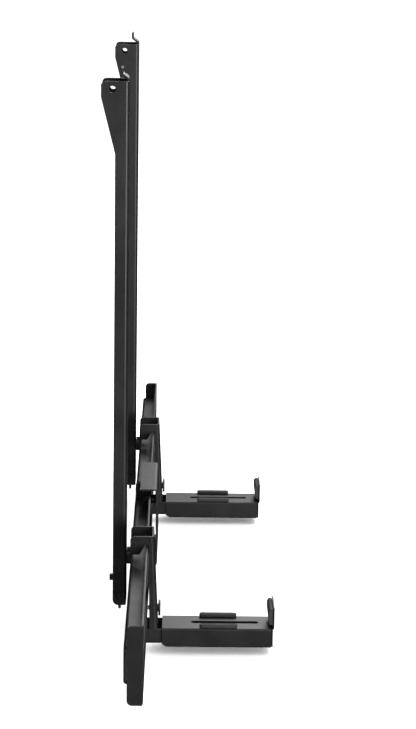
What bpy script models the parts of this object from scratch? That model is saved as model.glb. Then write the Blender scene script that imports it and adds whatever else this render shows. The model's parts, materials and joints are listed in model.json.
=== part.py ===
"""Television rails with a crossbar that carries two extending soundbar shelves.

The frame is the row frame: +X from the wall towards the viewer, +Y along the crossbar, +Z up.
The origin is on the axis of the rails' hook holes, midway between the two rails.
Profiles are drawn from three datums: the rails' television face (X), the middle of the crossbar
or of the piece itself (Y), and the foot of the rails (Z).
"""
import math

import bmesh
import bpy
from mathutils import Matrix, Vector

# Clearances
GAP = 0.0003                  # between pieces that touch
HOLE_CLEARANCE = 0.0003       # radial, screw to hole

# Places along the crossbar
RAIL_SPACING = 0.400          # centre to centre, a standard television hole spacing
FAR_RAIL_FROM_END = 0.149     # rail centre from the crossbar's far end
NEAR_HANGER_FROM_END = 0.229
FAR_HANGER_FROM_END = 0.210

# Television rail
RAIL_HEIGHT = 0.556
RAIL_WIDTH = 0.033
RAIL_DEPTH = 0.014
RAIL_SHEET = 0.0022
RAIL_BEND = 0.0010            # inner bend radius
RAIL_FOOT_RADIUS = 0.006
EAR_REACH = 0.0145            # beyond the channel's depth
EAR_CORNER = 0.0045
EAR_TIP_DROP = 0.016          # straight edge of the ear ends this far below the top
EAR_TIP_RADIUS = 0.008
EAR_TAPER = 0.058             # height of the taper below the ear
EAR_TAPER_RADIUS = 0.020
HOOK_HOLE_INSET = 0.0115      # from the ear's rear edge
HOOK_HOLE_DROP = 0.008        # below the rail's top
HOOK_HOLE_RADIUS = 0.0034
TONGUE_WIDTH = 0.020
TONGUE_RISE = 0.0130
TONGUE_STEP = 0.0064
TONGUE_STEP_LOW = 0.0026      # the step starts and ends this far above the rail's top
TONGUE_STEP_HIGH = 0.00715
TONGUE_BEND = 0.0005
TONGUE_ROOT = 0.004
TV_SLOT_FIRST = 0.140
TV_SLOT_PITCH = 0.052
TV_SLOT_TOP_ROOM = 0.045      # no slot centre above this far below the top
TV_SLOT_LENGTH = 0.040
TV_SLOT_WIDTH = 0.0066

# Rail bolts
BOLT_RADIUS = 0.0030
BOLT_HEAD_RADIUS = 0.0052
BOLT_HEAD_HEIGHT = 0.0036
NUT_FLATS = 0.0100
NUT_HEIGHT = 0.0050
BOLT_END = 0.0020             # thread standing out past a nut
RAIL_BOLT_INSET = 0.0063      # bolt axis from the flange's inner face
SPACER_RADIUS = 0.0062

# Rail latch, turning on a pin across the rail; its outline is drawn from the pin
LATCH_PIVOT_INSET = 0.0060    # pin axis ahead of the rail's rear edge
LATCH_PIVOT_HEIGHT = 0.0120
LATCH_THICKNESS = 0.0040
LATCH_PIN_RADIUS = 0.0020
LATCH_NOSE_OUT = 0.0040       # beyond the rail's rear edge
LATCH_NOSE_LOW = 0.0102
LATCH_NOSE_HIGH = 0.0166
LATCH_NECK_BACK = 0.0055
LATCH_NECK_LOW = 0.0052
LATCH_BODY_BACK = 0.0040
LATCH_BODY_FRONT = 0.0035
LATCH_BODY_HIGH = 0.0030
LATCH_SHOULDER = 0.0015
LATCH_HEEL_DROP = 0.0050
LATCH_TOE_DROP = 0.0040
LATCH_TAIL_BACK = 0.0005
LATCH_TAIL_FRONT = 0.0025
LATCH_TAIL_ROOT = 0.0085
LATCH_TAIL_DROP = 0.0095      # below the rail's foot
LATCH_EDGE = 0.0010
LATCH_ROUND = 0.0030
SPRING_WIRE_RADIUS = 0.0005
SPRING_COIL_RADIUS = 0.0031
SPRING_PITCH = 0.0014
SPRING_TURNS = 3.0
SPRING_ROOM = 0.0020          # first turn from the latch's side
SPRING_LEG = 0.0075

# Crossbar
BAR_LENGTH = 0.838
BAR_BACK = 0.0056             # crown's rear face ahead of the television face
BAR_DEPTH = 0.0184
BAR_FOOT = 0.0112             # lower brim's edge above the rail's foot
BAR_HEIGHT = 0.077
BRIM_HEIGHT = 0.0198
BAR_SHEET = 0.0020
BAR_BEND = 0.0012
CROWN_SLOT_WIDTH = 0.0066
CROWN_SLOT_FROM_SADDLE = 0.0035
CROWN_SLOT_FROM_END = 0.074
CAP_THICKNESS = 0.0030
CAP_INSET = 0.0032            # cap's rear edge ahead of the crown's rear face
CAP_CORNER = 0.0050
CAP_STEP = 0.0005
CAP_STEP_HEIGHT = 0.0170
CAP_PLUG_LENGTH = 0.0070
CAP_EDGE = 0.0006
CAP_PLUG_EDGE = 0.0010
JOINT_PLATE_INSET = 0.0006
JOINT_PLATE_THICKNESS = 0.0028
JOINT_BOLT_SPREAD = 0.018
JOINT_BOLT_AHEAD = 0.0098     # of the crown's rear face

# Joint saddle
SADDLE_LENGTH = 0.097
SADDLE_REACH = 0.0120         # its flanges' edges behind the brims' front
SADDLE_ROOM_FRONT = 0.0076
SADDLE_ROOM_BELOW = 0.0042
SADDLE_ROOM_ABOVE = 0.0073
SADDLE_SHEET = 0.0020
SADDLE_BEND = 0.0015
SADDLE_SCREW_INSET = 0.0185   # from the saddle's end
SADDLE_SCREW_HEAD = 0.0045
SADDLE_SPACER_RADIUS = 0.0048
SCREW_RADIUS = 0.0025
SMALL_NUT_FLATS = 0.0080
SMALL_NUT_HEIGHT = 0.0040

# Hanger
HANGER_SHEET = 0.0020
HANGER_BEND = 0.0012
HOOK_RISE = 0.0095            # above the crossbar's upper edge
HOOK_DROP = 0.0098            # hook's nose below that edge
HOOK_REACH = 0.0182           # hook's rear edge behind the brims' front
HOOK_CORNER = 0.0045
HOOK_NOSE_EDGE = 0.0010
NOTCH_BEHIND = 0.0010         # room behind the brim
NOTCH_AHEAD = 0.0005
NOTCH_LEAD = 0.0058           # run of the slanted lead-in
NOTCH_CORNER = 0.0004
NOTCH_LEAD_EDGE = 0.0008
STRIP_TOP_AHEAD = 0.0060      # strip's front ahead of the brims' front
STRIP_FOOT_AHEAD = 0.0106
STRIP_BACK_AHEAD = 0.0020
ARM_ROOT = 0.0024             # arm's rear end behind the brims' front
ARM_CLEARANCE = 0.0004        # to the shelf's roof and sides
ARM_FLOOR_CLEARANCE = 0.0012
ARM_CORNER = 0.0020
ARM_EDGE = 0.0008
CLAMP_SCREW_RISE = 0.0041     # above the crossbar's lower edge
CLAMP_HEAD_RADIUS = 0.0083
CLAMP_HEAD_THICKNESS = 0.0024
CLAMP_COLLAR_RADIUS = 0.0042

# Shelf, a sleeve that slides on the hanger's arm
SHELF_ROOM = 0.0044           # sleeve's rear end ahead of the strip's foot
SHELF_LENGTH = 0.1125
SHELF_WIDTH = 0.0365
SHELF_HEIGHT = 0.0206
SHELF_WALL = 0.0016
SHELF_CORNER = 0.0020
SHELF_RELIEF_LENGTH = 0.0050
SHELF_RELIEF_HEIGHT = 0.0035
TRAVEL_END_ROOM = 0.0110      # lock screw at full travel behind the arm's end
SLOT_FROM_BACK = 0.0300
SLOT_FROM_FRONT = 0.0130
SLOT_WIDTH = 0.0060
LIP_AHEAD = 0.0032            # lip's front ahead of the sleeve's front end
LIP_TOP = 0.0223
LIP_INSET = 0.0010            # from the sleeve's side
LIP_BEND = 0.0012
LIP_PAD_INSET = 0.0005
LIP_PAD_LOW = 0.0040
LIP_PAD_DROP = 0.0015         # below the lip's top
LIP_PAD_FOOT_THICKNESS = 0.0032
LIP_PAD_TOP_THICKNESS = 0.0052
LIP_PAD_EDGE = 0.0005
LIP_PAD_NOSE = 0.0016
LIP_PAD_HEEL = 0.0010
PAD_FROM_BACK = 0.0385
PAD_FROM_FRONT = 0.0350
PAD_WIDTH = 0.0064
PAD_HEIGHT = 0.0035
PAD_INSET = 0.0003
LOCK_SCREW_FROM_BACK = 0.0090
LOCK_HEAD_RADIUS = 0.0045
LOCK_HEAD_HEIGHT = 0.0028
LOCK_SCREW_END = 0.0012
GLIDE_BLOCK = 0.0055
GLIDE_FLANGE = 0.0020
GLIDE_FIT = 0.0002
GLIDE_EDGE = 0.0010
PLUG_INSERT = 0.0022
PLUG_FLANGE = 0.0015
PLUG_INSET = 0.0005
PLUG_EDGE = 0.0008
PLUG_CORNER = 0.0016
ARM_END_ROOM = 0.0010         # glide to plug with the shelf pushed in

# Facets
BEND_STEPS = 4
ROUND_STEPS = 24
CORNER_STEPS = 5
MARGIN = 0.0020               # cutters run this far past what they cut

# Places worked out from the dimensions above: X from the rails' television face, Y from the
# crossbar's middle, Z from the foot of the rails, which is level with the top of the shelves
FAR_RAIL_Y = BAR_LENGTH / 2 - FAR_RAIL_FROM_END
NEAR_RAIL_Y = FAR_RAIL_Y - RAIL_SPACING
NEAR_HANGER_Y = NEAR_HANGER_FROM_END - BAR_LENGTH / 2
FAR_HANGER_Y = BAR_LENGTH / 2 - FAR_HANGER_FROM_END
EAR_DEPTH = RAIL_DEPTH + EAR_REACH
HOOK_HOLE_BACK = EAR_DEPTH - HOOK_HOLE_INSET
HOOK_HOLE_HEIGHT = RAIL_HEIGHT - HOOK_HOLE_DROP
FRAME = Vector((HOOK_HOLE_BACK, -(NEAR_RAIL_Y + FAR_RAIL_Y) / 2, -HOOK_HOLE_HEIGHT))
TV_SLOT_COUNT = 1 + int((RAIL_HEIGHT - TV_SLOT_TOP_ROOM - TV_SLOT_FIRST) / TV_SLOT_PITCH)
RAIL_BOLT_Y = RAIL_WIDTH / 2 - RAIL_SHEET - RAIL_BOLT_INSET
RAIL_BOLT_PLACES = (-RAIL_BOLT_Y, RAIL_BOLT_Y)
LATCH_PIVOT_BACK = RAIL_DEPTH - LATCH_PIVOT_INSET
BAR_FRONT = BAR_BACK + BAR_DEPTH
BAR_TOP = BAR_FOOT + BAR_HEIGHT
BAR_CENTRE_Z = BAR_FOOT + BAR_HEIGHT / 2
LEDGE_TOP = BAR_TOP - BRIM_HEIGHT
LEDGE_FOOT = BAR_FOOT + BRIM_HEIGHT
BAR_START = JOINT_PLATE_THICKNESS + 1.5 * GAP
BAR_END = BAR_LENGTH / 2 - CAP_THICKNESS - GAP
CROWN_SLOT_START = SADDLE_LENGTH / 2 + CROWN_SLOT_FROM_SADDLE
CROWN_SLOT_END = BAR_LENGTH / 2 - CROWN_SLOT_FROM_END
BRIM_SCREW_HEIGHT = BAR_TOP - BRIM_HEIGHT / 2
CAP_BACK = BAR_BACK + CAP_INSET
JOINT_PLATE_BACK = BAR_BACK + JOINT_PLATE_INSET
JOINT_BOLT_X = BAR_BACK + JOINT_BOLT_AHEAD
JOINT_BOLT_HEIGHTS = (BAR_CENTRE_Z - JOINT_BOLT_SPREAD / 2, BAR_CENTRE_Z + JOINT_BOLT_SPREAD / 2)
SADDLE_BACK = BAR_FRONT - SADDLE_REACH
SADDLE_FRONT = BAR_FRONT + SADDLE_ROOM_FRONT
SADDLE_FOOT = BAR_FOOT - SADDLE_ROOM_BELOW
SADDLE_TOP = BAR_TOP + SADDLE_ROOM_ABOVE
SADDLE_SCREW_Y = SADDLE_LENGTH / 2 - SADDLE_SCREW_INSET
SADDLE_SCREW_PLACES = (-SADDLE_SCREW_Y, SADDLE_SCREW_Y)
HANGER_WIDTH = SHELF_WIDTH - 2 * (SHELF_WALL + ARM_CLEARANCE)
HANGER_TOP = BAR_TOP + HOOK_RISE
HOOK_NOSE = BAR_TOP - HOOK_DROP
HOOK_BACK = BAR_FRONT - HOOK_REACH
STRIP_TOP_FRONT = BAR_FRONT + STRIP_TOP_AHEAD
STRIP_FOOT_FRONT = BAR_FRONT + STRIP_FOOT_AHEAD
STRIP_FOOT_BACK = BAR_FRONT + STRIP_BACK_AHEAD
SHELF_BACK = STRIP_FOOT_FRONT + SHELF_ROOM
SHELF_FRONT = SHELF_BACK + SHELF_LENGTH
ARM_BACK = BAR_FRONT - ARM_ROOT
ARM_FRONT = SHELF_FRONT - PLUG_INSERT - ARM_END_ROOM - GLIDE_FLANGE - GAP
ARM_HEIGHT = SHELF_HEIGHT - 2 * SHELF_WALL - ARM_CLEARANCE - ARM_FLOOR_CLEARANCE
ARM_TOP = -SHELF_WALL - ARM_CLEARANCE
ARM_FOOT = ARM_TOP - ARM_HEIGHT
ARM_MIDDLE_Z = (ARM_TOP + ARM_FOOT) / 2
STRIP_LEAN = (STRIP_FOOT_FRONT - STRIP_TOP_FRONT) / (HANGER_TOP - ARM_TOP)
CLAMP_SCREW_HEIGHT = BAR_FOOT + CLAMP_SCREW_RISE
STRIP_CLAMP_FRONT = STRIP_TOP_FRONT + STRIP_LEAN * (HANGER_TOP - CLAMP_SCREW_HEIGHT)
CLAMP_HEAD_BACK = STRIP_FOOT_FRONT + GAP
LOCK_HOLE_RADIUS = SCREW_RADIUS + HOLE_CLEARANCE
LOCK_SCREW_X = SHELF_BACK + LOCK_SCREW_FROM_BACK
SHELF_TRAVEL = ARM_FRONT - LOCK_SCREW_X - TRAVEL_END_ROOM
SLOT_BACK = SHELF_BACK + SLOT_FROM_BACK
SLOT_FRONT = SHELF_FRONT - SLOT_FROM_FRONT
PAD_BACK = SHELF_BACK + PAD_FROM_BACK
PAD_FRONT = SHELF_FRONT - PAD_FROM_FRONT
LIP_FRONT = SHELF_FRONT + LIP_AHEAD
LIP_WIDTH = SHELF_WIDTH - 2 * LIP_INSET
LIP_ROOT_WIDTH = SHELF_WIDTH - 2 * (SHELF_CORNER + GAP)     # the lip grows from the roof's flat
LIP_PAD_WIDTH = LIP_WIDTH - 2 * LIP_PAD_INSET
LIP_PAD_HIGH = LIP_TOP - LIP_PAD_DROP


def clear_scene():
    for old in list(bpy.data.objects):
        bpy.data.objects.remove(old)
    for old in list(bpy.data.meshes):
        bpy.data.meshes.remove(old)


def make_material(name, color, roughness, metallic):
    material = bpy.data.materials.new(name)
    material.use_nodes = True
    shader = material.node_tree.nodes["Principled BSDF"]
    shader.inputs["Base Color"].default_value = (*color, 1.0)
    shader.inputs["Roughness"].default_value = roughness
    shader.inputs["Metallic"].default_value = metallic
    return material


# Outlines in a plane -------------------------------------------------------------------------

def arc(centre, radius, start, end, steps):
    """Points on an arc from one angle to another, both ends included."""
    turn = (end - start) / steps
    return [(centre[0] + radius * math.cos(start + turn * i), centre[1] + radius * math.sin(start + turn * i))
            for i in range(steps + 1)]


def fillet(before, corner, after, radius, steps):
    """Centre and angles of the arc that rounds a corner of a path."""
    corner = Vector(corner)
    back = (Vector(before) - corner).normalized()
    ahead = (Vector(after) - corner).normalized()
    half = back.angle(ahead) / 2
    centre = corner + (back + ahead).normalized() * radius / math.sin(half)
    first = corner + back * radius / math.tan(half) - centre
    last = corner + ahead * radius / math.tan(half) - centre
    start = math.atan2(first.y, first.x)
    turn = math.atan2(first.x * last.y - first.y * last.x, first.dot(last))
    return arc(centre, radius, start, start + turn, steps), centre, turn


def rounded_outline(corners, steps=CORNER_STEPS):
    """Closed outline through (u, v, radius) corners; a radius of 0 keeps the corner sharp."""
    points = []
    count = len(corners)
    for i, (u, v, radius) in enumerate(corners):
        if radius == 0:
            points.append((u, v))
            continue
        before = corners[i - 1][:2]
        after = corners[(i + 1) % count][:2]
        points.extend(fillet(before, (u, v), after, radius, steps)[0])
    return points


def sheet_outline(face, thickness, bend, steps=BEND_STEPS):
    """Outline of bent sheet whose one face follows a path, with the sheet on the path's left."""
    near = [face[0]]
    directions = [(Vector(b) - Vector(a)).normalized() for a, b in zip(face, face[1:])]
    lefts = [Vector((-d.y, d.x)) for d in directions]
    far = [tuple(Vector(face[0]) + lefts[0] * thickness)]
    for i in range(1, len(face) - 1):
        turn_left = directions[i - 1].x * directions[i].y - directions[i - 1].y * directions[i].x > 0
        near_radius = bend + thickness if turn_left else bend
        points, centre, _ = fillet(face[i - 1], face[i], face[i + 1], near_radius, steps)
        far_radius = bend if turn_left else bend + thickness
        near.extend(points)
        far.extend(tuple(centre + (Vector(p) - centre) * far_radius / near_radius) for p in points)
    near.append(face[-1])
    far.append(tuple(Vector(face[-1]) + lefts[-1] * thickness))
    return near + far[::-1]


def slot_outline(centre, length, width, steps=8):
    """Slot with round ends whose long way is the first coordinate."""
    radius = width / 2
    reach = length / 2 - radius
    right = arc((centre[0] + reach, centre[1]), radius, -math.pi / 2, math.pi / 2, steps)
    left = arc((centre[0] - reach, centre[1]), radius, math.pi / 2, 3 * math.pi / 2, steps)
    return right + left


def circle_outline(centre, radius, steps=ROUND_STEPS):
    return arc(centre, radius, 0, 2 * math.pi, steps)[:-1]


def hexagon_outline(centre, flats):
    return arc(centre, flats / math.sqrt(3), 0, 2 * math.pi, 6)[:-1]


# Solids --------------------------------------------------------------------------------------

AXES = {
    "x": lambda u, v, w: (w, u, v),    # outline in Y and Z
    "y": lambda u, v, w: (u, w, v),    # outline in X and Z
    "z": lambda u, v, w: (u, v, w),    # outline in X and Y
}


def add_prism(mesh, outline, axis, low, high):
    """Add an outline drawn out along an axis to a bmesh."""
    place = AXES[axis]
    ends = [[mesh.verts.new(place(u, v, w)) for u, v in outline] for w in (low, high)]
    faces = [mesh.faces.new(ends[0][::-1]), mesh.faces.new(ends[1])]
    for i in range(len(outline)):
        j = (i + 1) % len(outline)
        faces.append(mesh.faces.new((ends[0][i], ends[0][j], ends[1][j], ends[1][i])))
    bmesh.ops.recalc_face_normals(mesh, faces=faces)


def add_turned(mesh, profile, axis, centre, steps=ROUND_STEPS):
    """Add a solid turned from (radius, place along the axis) points; it starts and ends at radius 0."""
    place = AXES[axis]
    rings = []
    for radius, w in profile:
        if radius == 0:
            rings.append([mesh.verts.new(place(centre[0], centre[1], w))])
            continue
        rings.append([mesh.verts.new(place(u, v, w)) for u, v in circle_outline(centre, radius, steps)])
    faces = []
    for lower, upper in zip(rings, rings[1:]):
        for i in range(steps):
            j = (i + 1) % steps
            if len(lower) == 1:
                faces.append(mesh.faces.new((lower[0], upper[j], upper[i])))
            elif len(upper) == 1:
                faces.append(mesh.faces.new((lower[i], lower[j], upper[0])))
            else:
                faces.append(mesh.faces.new((lower[i], lower[j], upper[j], upper[i])))
    bmesh.ops.recalc_face_normals(mesh, faces=faces)


def add_ring(mesh, outer, inner_radius, centre, axis, low, high, steps=ROUND_STEPS):
    """Add an outline with a round hole in it, such as a nut or a spacer, as one closed solid."""
    place = AXES[axis]
    per_side = steps // len(outer)
    rim = []
    for a, b in zip(outer, outer[1:] + outer[:1]):
        rim.extend((a[0] + (b[0] - a[0]) * i / per_side, a[1] + (b[1] - a[1]) * i / per_side)
                   for i in range(per_side))
    hole = [(centre[0] + inner_radius * math.cos(math.atan2(v - centre[1], u - centre[0])),
             centre[1] + inner_radius * math.sin(math.atan2(v - centre[1], u - centre[0]))) for u, v in rim]
    loops = [[mesh.verts.new(place(u, v, w)) for u, v in loop]
             for loop, w in ((rim, low), (rim, high), (hole, high), (hole, low))]
    faces = []
    for a, b in zip(loops, loops[1:] + loops[:1]):
        for i in range(len(rim)):
            j = (i + 1) % len(rim)
            faces.append(mesh.faces.new((a[i], a[j], b[j], b[i])))
    bmesh.ops.recalc_face_normals(mesh, faces=faces)


def make_object(name, mesh):
    """Turn a bmesh into an object with round faces shaded smooth."""
    data = bpy.data.meshes.new(name)
    mesh.to_mesh(data)
    mesh.free()
    data.shade_smooth()
    data.set_sharp_from_angle(angle=math.radians(35))
    piece = bpy.data.objects.new(name, data)
    bpy.context.scene.collection.objects.link(piece)
    return piece


def prism_object(name, outline, axis, low, high):
    mesh = bmesh.new()
    add_prism(mesh, outline, axis, low, high)
    return make_object(name, mesh)


def combine(piece, tool, operation):
    """Cut, join or intersect a piece with a tool, and keep only the result."""
    modifier = piece.modifiers.new("combine", "BOOLEAN")
    modifier.object = tool
    modifier.operation = operation
    modifier.solver = "EXACT"
    bpy.context.view_layer.update()
    depsgraph = bpy.context.evaluated_depsgraph_get()
    result = bpy.data.meshes.new_from_object(piece.evaluated_get(depsgraph))
    piece.modifiers.clear()
    old = piece.data
    piece.data = result
    bpy.data.meshes.remove(old)
    bpy.data.objects.remove(tool)
    result.shade_smooth()
    result.set_sharp_from_angle(angle=math.radians(35))
    result.name = piece.name


def place(piece, material, group):
    """Give a piece its own material and hang it in its group."""
    piece.data.materials.clear()
    piece.data.materials.append(material)
    piece.parent = group


def make_group(name, y, offset=(0.0, 0.0, 0.0)):
    """Empty on a moving body's axis; the pieces of the body hang on it."""
    group = bpy.data.objects.new(name, None)
    bpy.context.scene.collection.objects.link(group)
    group.location = FRAME + Vector((0.0, y, 0.0)) + Vector(offset)
    return group


def copy_piece(piece, name, group, material):
    """Second object on the same shape, with a material of its own."""
    twin = bpy.data.objects.new(name, piece.data.copy())
    bpy.context.scene.collection.objects.link(twin)
    place(twin, material, group)
    return twin


# Television rail -----------------------------------------------------------------------------

def rail_body(name):
    """Channel with its flanges towards the wall, cut to the side view's outline."""
    half = RAIL_WIDTH / 2
    deep = EAR_DEPTH + MARGIN
    section = sheet_outline([(-deep, -half), (0, -half), (0, half), (-deep, half)], RAIL_SHEET, RAIL_BEND)
    rail = prism_object(name, section, "z", -MARGIN, RAIL_HEIGHT + MARGIN)
    tip_foot = RAIL_HEIGHT - EAR_TIP_DROP
    side = rounded_outline([
        (MARGIN, 0, 0),
        (-RAIL_DEPTH, 0, RAIL_FOOT_RADIUS),
        (-RAIL_DEPTH, tip_foot - EAR_TAPER, EAR_TAPER_RADIUS),
        (-EAR_DEPTH, tip_foot, EAR_TIP_RADIUS),
        (-EAR_DEPTH, RAIL_HEIGHT, EAR_CORNER),
        (MARGIN, RAIL_HEIGHT, 0),
    ])
    combine(rail, prism_object("side", side, "y", -RAIL_WIDTH, RAIL_WIDTH), "INTERSECT")
    return rail


def add_tongue(rail):
    """Stepped tongue on the top end of the web."""
    root = RAIL_HEIGHT - TONGUE_ROOT
    step_foot = RAIL_HEIGHT + TONGUE_STEP_LOW
    step_top = RAIL_HEIGHT + TONGUE_STEP_HIGH
    face = [(0, root), (0, step_foot), (-TONGUE_STEP, step_top), (-TONGUE_STEP, RAIL_HEIGHT + TONGUE_RISE)]
    outline = sheet_outline(face, RAIL_SHEET, TONGUE_BEND)
    half = TONGUE_WIDTH / 2
    combine(rail, prism_object("tongue", outline, "y", -half, half), "UNION")


def cut_rail_holes(rail):
    """Television slots, hook holes, bolt holes and latch pin holes."""
    cutters = bmesh.new()
    for i in range(TV_SLOT_COUNT):
        height = TV_SLOT_FIRST + TV_SLOT_PITCH * i
        outline = [(v, u) for u, v in slot_outline((height, 0), TV_SLOT_LENGTH, TV_SLOT_WIDTH)]
        add_prism(cutters, outline, "x", -RAIL_SHEET - MARGIN, MARGIN)
    for y in RAIL_BOLT_PLACES:
        outline = circle_outline((y, BAR_CENTRE_Z), BOLT_RADIUS + HOLE_CLEARANCE)
        add_prism(cutters, outline, "x", -RAIL_SHEET - MARGIN, MARGIN)
    hook = circle_outline((-HOOK_HOLE_BACK, HOOK_HOLE_HEIGHT), HOOK_HOLE_RADIUS)
    add_prism(cutters, hook, "y", -RAIL_WIDTH, RAIL_WIDTH)
    pin = circle_outline((-LATCH_PIVOT_BACK, LATCH_PIVOT_HEIGHT), LATCH_PIN_RADIUS + HOLE_CLEARANCE, 16)
    add_prism(cutters, pin, "y", -RAIL_WIDTH, RAIL_WIDTH)
    combine(rail, make_object("rail_cutters", cutters), "DIFFERENCE")


def make_rail(name):
    rail = rail_body(name)
    add_tongue(rail)
    cut_rail_holes(rail)
    return rail


def make_rail_bolt(name, y):
    """Bolt with its head inside the crossbar's crown."""
    mesh = bmesh.new()
    head_foot = BAR_BACK + BAR_SHEET + GAP
    end = -RAIL_SHEET - GAP - NUT_HEIGHT - BOLT_END
    profile = [(0, end), (BOLT_RADIUS * 0.8, end), (BOLT_RADIUS, end + BOLT_RADIUS * 0.3),
               (BOLT_RADIUS, head_foot), (BOLT_HEAD_RADIUS, head_foot),
               (BOLT_HEAD_RADIUS, head_foot + BOLT_HEAD_HEIGHT * 0.55),
               (BOLT_HEAD_RADIUS * 0.7, head_foot + BOLT_HEAD_HEIGHT), (0, head_foot + BOLT_HEAD_HEIGHT)]
    add_turned(mesh, profile, "x", (y, BAR_CENTRE_Z), 16)
    return make_object(name, mesh)


def make_rail_spacer(name, y):
    mesh = bmesh.new()
    centre = (y, BAR_CENTRE_Z)
    outer = circle_outline(centre, SPACER_RADIUS, 16)
    add_ring(mesh, outer, BOLT_RADIUS + HOLE_CLEARANCE, centre, "x", GAP, BAR_BACK - GAP, 16)
    return make_object(name, mesh)


def make_rail_nut(name, y):
    mesh = bmesh.new()
    centre = (y, BAR_CENTRE_Z)
    top = -RAIL_SHEET - GAP
    outer = hexagon_outline(centre, NUT_FLATS)
    add_ring(mesh, outer, BOLT_RADIUS + HOLE_CLEARANCE, centre, "x", top - NUT_HEIGHT, top, 18)
    return make_object(name, mesh)


# Rail latch; its own origin is on the pin ----------------------------------------------------

def make_latch(name):
    """Flat lever: nose behind the rail, tail below its foot."""
    nose_back = -(LATCH_PIVOT_INSET + LATCH_NOSE_OUT)
    tail_foot = -(LATCH_PIVOT_HEIGHT + LATCH_TAIL_DROP)
    outline = rounded_outline([
        (nose_back, LATCH_NOSE_LOW, LATCH_EDGE),
        (-LATCH_NECK_BACK, LATCH_NOSE_LOW, LATCH_EDGE),
        (-LATCH_BODY_BACK, LATCH_NECK_LOW, LATCH_ROUND),
        (-LATCH_BODY_BACK, -LATCH_HEEL_DROP, LATCH_ROUND),
        (-LATCH_TAIL_BACK, -LATCH_TAIL_ROOT, LATCH_EDGE),
        (-LATCH_TAIL_BACK, tail_foot, LATCH_EDGE),
        (LATCH_TAIL_FRONT, tail_foot, LATCH_EDGE),
        (LATCH_TAIL_FRONT, LATCH_EDGE - LATCH_TAIL_ROOT, LATCH_EDGE),
        (LATCH_BODY_FRONT, -LATCH_TOE_DROP, LATCH_EDGE),
        (LATCH_BODY_FRONT, LATCH_BODY_HIGH, LATCH_ROUND),
        (-LATCH_SHOULDER, LATCH_NOSE_HIGH, LATCH_EDGE),
        (nose_back, LATCH_NOSE_HIGH, LATCH_EDGE),
    ], 3)
    half = LATCH_THICKNESS / 2
    latch = prism_object(name, outline, "y", -half, half)
    hole = circle_outline((0, 0), LATCH_PIN_RADIUS + HOLE_CLEARANCE, 16)
    combine(latch, prism_object("pin_hole", hole, "y", -half - MARGIN, half + MARGIN), "DIFFERENCE")
    return latch


def make_latch_pin(name):
    mesh = bmesh.new()
    half = RAIL_WIDTH / 2
    chamfer = LATCH_PIN_RADIUS * 0.2
    profile = [(0, -half), (LATCH_PIN_RADIUS - chamfer, -half), (LATCH_PIN_RADIUS, -half + chamfer),
               (LATCH_PIN_RADIUS, half - chamfer), (LATCH_PIN_RADIUS - chamfer, half), (0, half)]
    add_turned(mesh, profile, "y", (-LATCH_PIVOT_BACK, LATCH_PIVOT_HEIGHT), 16)
    return make_object(name, mesh)


def make_latch_spring(name):
    """Torsion spring round the pin: a helix with one straight leg at each end."""
    curve = bpy.data.curves.new(name, "CURVE")
    curve.dimensions = "3D"
    curve.bevel_depth = SPRING_WIRE_RADIUS
    curve.bevel_resolution = 1
    curve.use_fill_caps = True
    per_turn = 12
    count = int(SPRING_TURNS * per_turn) + 1
    start = LATCH_THICKNESS / 2 + SPRING_ROOM
    points = []
    for i in range(count):
        angle = 2 * math.pi * i / per_turn
        points.append((-LATCH_PIVOT_BACK + SPRING_COIL_RADIUS * math.cos(angle),
                       start + SPRING_PITCH * i / per_turn,
                       LATCH_PIVOT_HEIGHT + SPRING_COIL_RADIUS * math.sin(angle)))
    first = points[0]
    last = points[-1]
    points.insert(0, (first[0], first[1], first[2] - SPRING_LEG))
    points.append((last[0], last[1], last[2] + SPRING_LEG))
    spline = curve.splines.new("POLY")
    spline.points.add(len(points) - 1)
    for point, where in zip(spline.points, points):
        point.co = (*where, 1.0)
    spring = bpy.data.objects.new(name, curve)
    bpy.context.scene.collection.objects.link(spring)
    return spring


# Crossbar ------------------------------------------------------------------------------------

def make_half_bar(name, side):
    """Hat section with its crown towards the wall; side is -1 for the near half and 1 for the far."""
    rear = BAR_FRONT - BAR_SHEET
    face = [(rear, BAR_TOP), (rear, LEDGE_TOP), (BAR_BACK, LEDGE_TOP), (BAR_BACK, LEDGE_FOOT),
            (rear, LEDGE_FOOT), (rear, BAR_FOOT)]
    ends = sorted((side * BAR_START, side * BAR_END))
    bar = prism_object(name, sheet_outline(face, BAR_SHEET, BAR_BEND), "y", *ends)
    cutters = bmesh.new()
    middle = side * (CROWN_SLOT_START + CROWN_SLOT_END) / 2
    slot = slot_outline((middle, BAR_CENTRE_Z), CROWN_SLOT_END - CROWN_SLOT_START, CROWN_SLOT_WIDTH)
    add_prism(cutters, slot, "x", BAR_BACK - MARGIN, BAR_BACK + BAR_SHEET + MARGIN)
    hole = circle_outline((side * SADDLE_SCREW_Y, BRIM_SCREW_HEIGHT), SCREW_RADIUS + HOLE_CLEARANCE, 16)
    add_prism(cutters, hole, "x", rear - MARGIN, BAR_FRONT + MARGIN)
    combine(bar, make_object("bar_cutters", cutters), "DIFFERENCE")
    return bar


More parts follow.
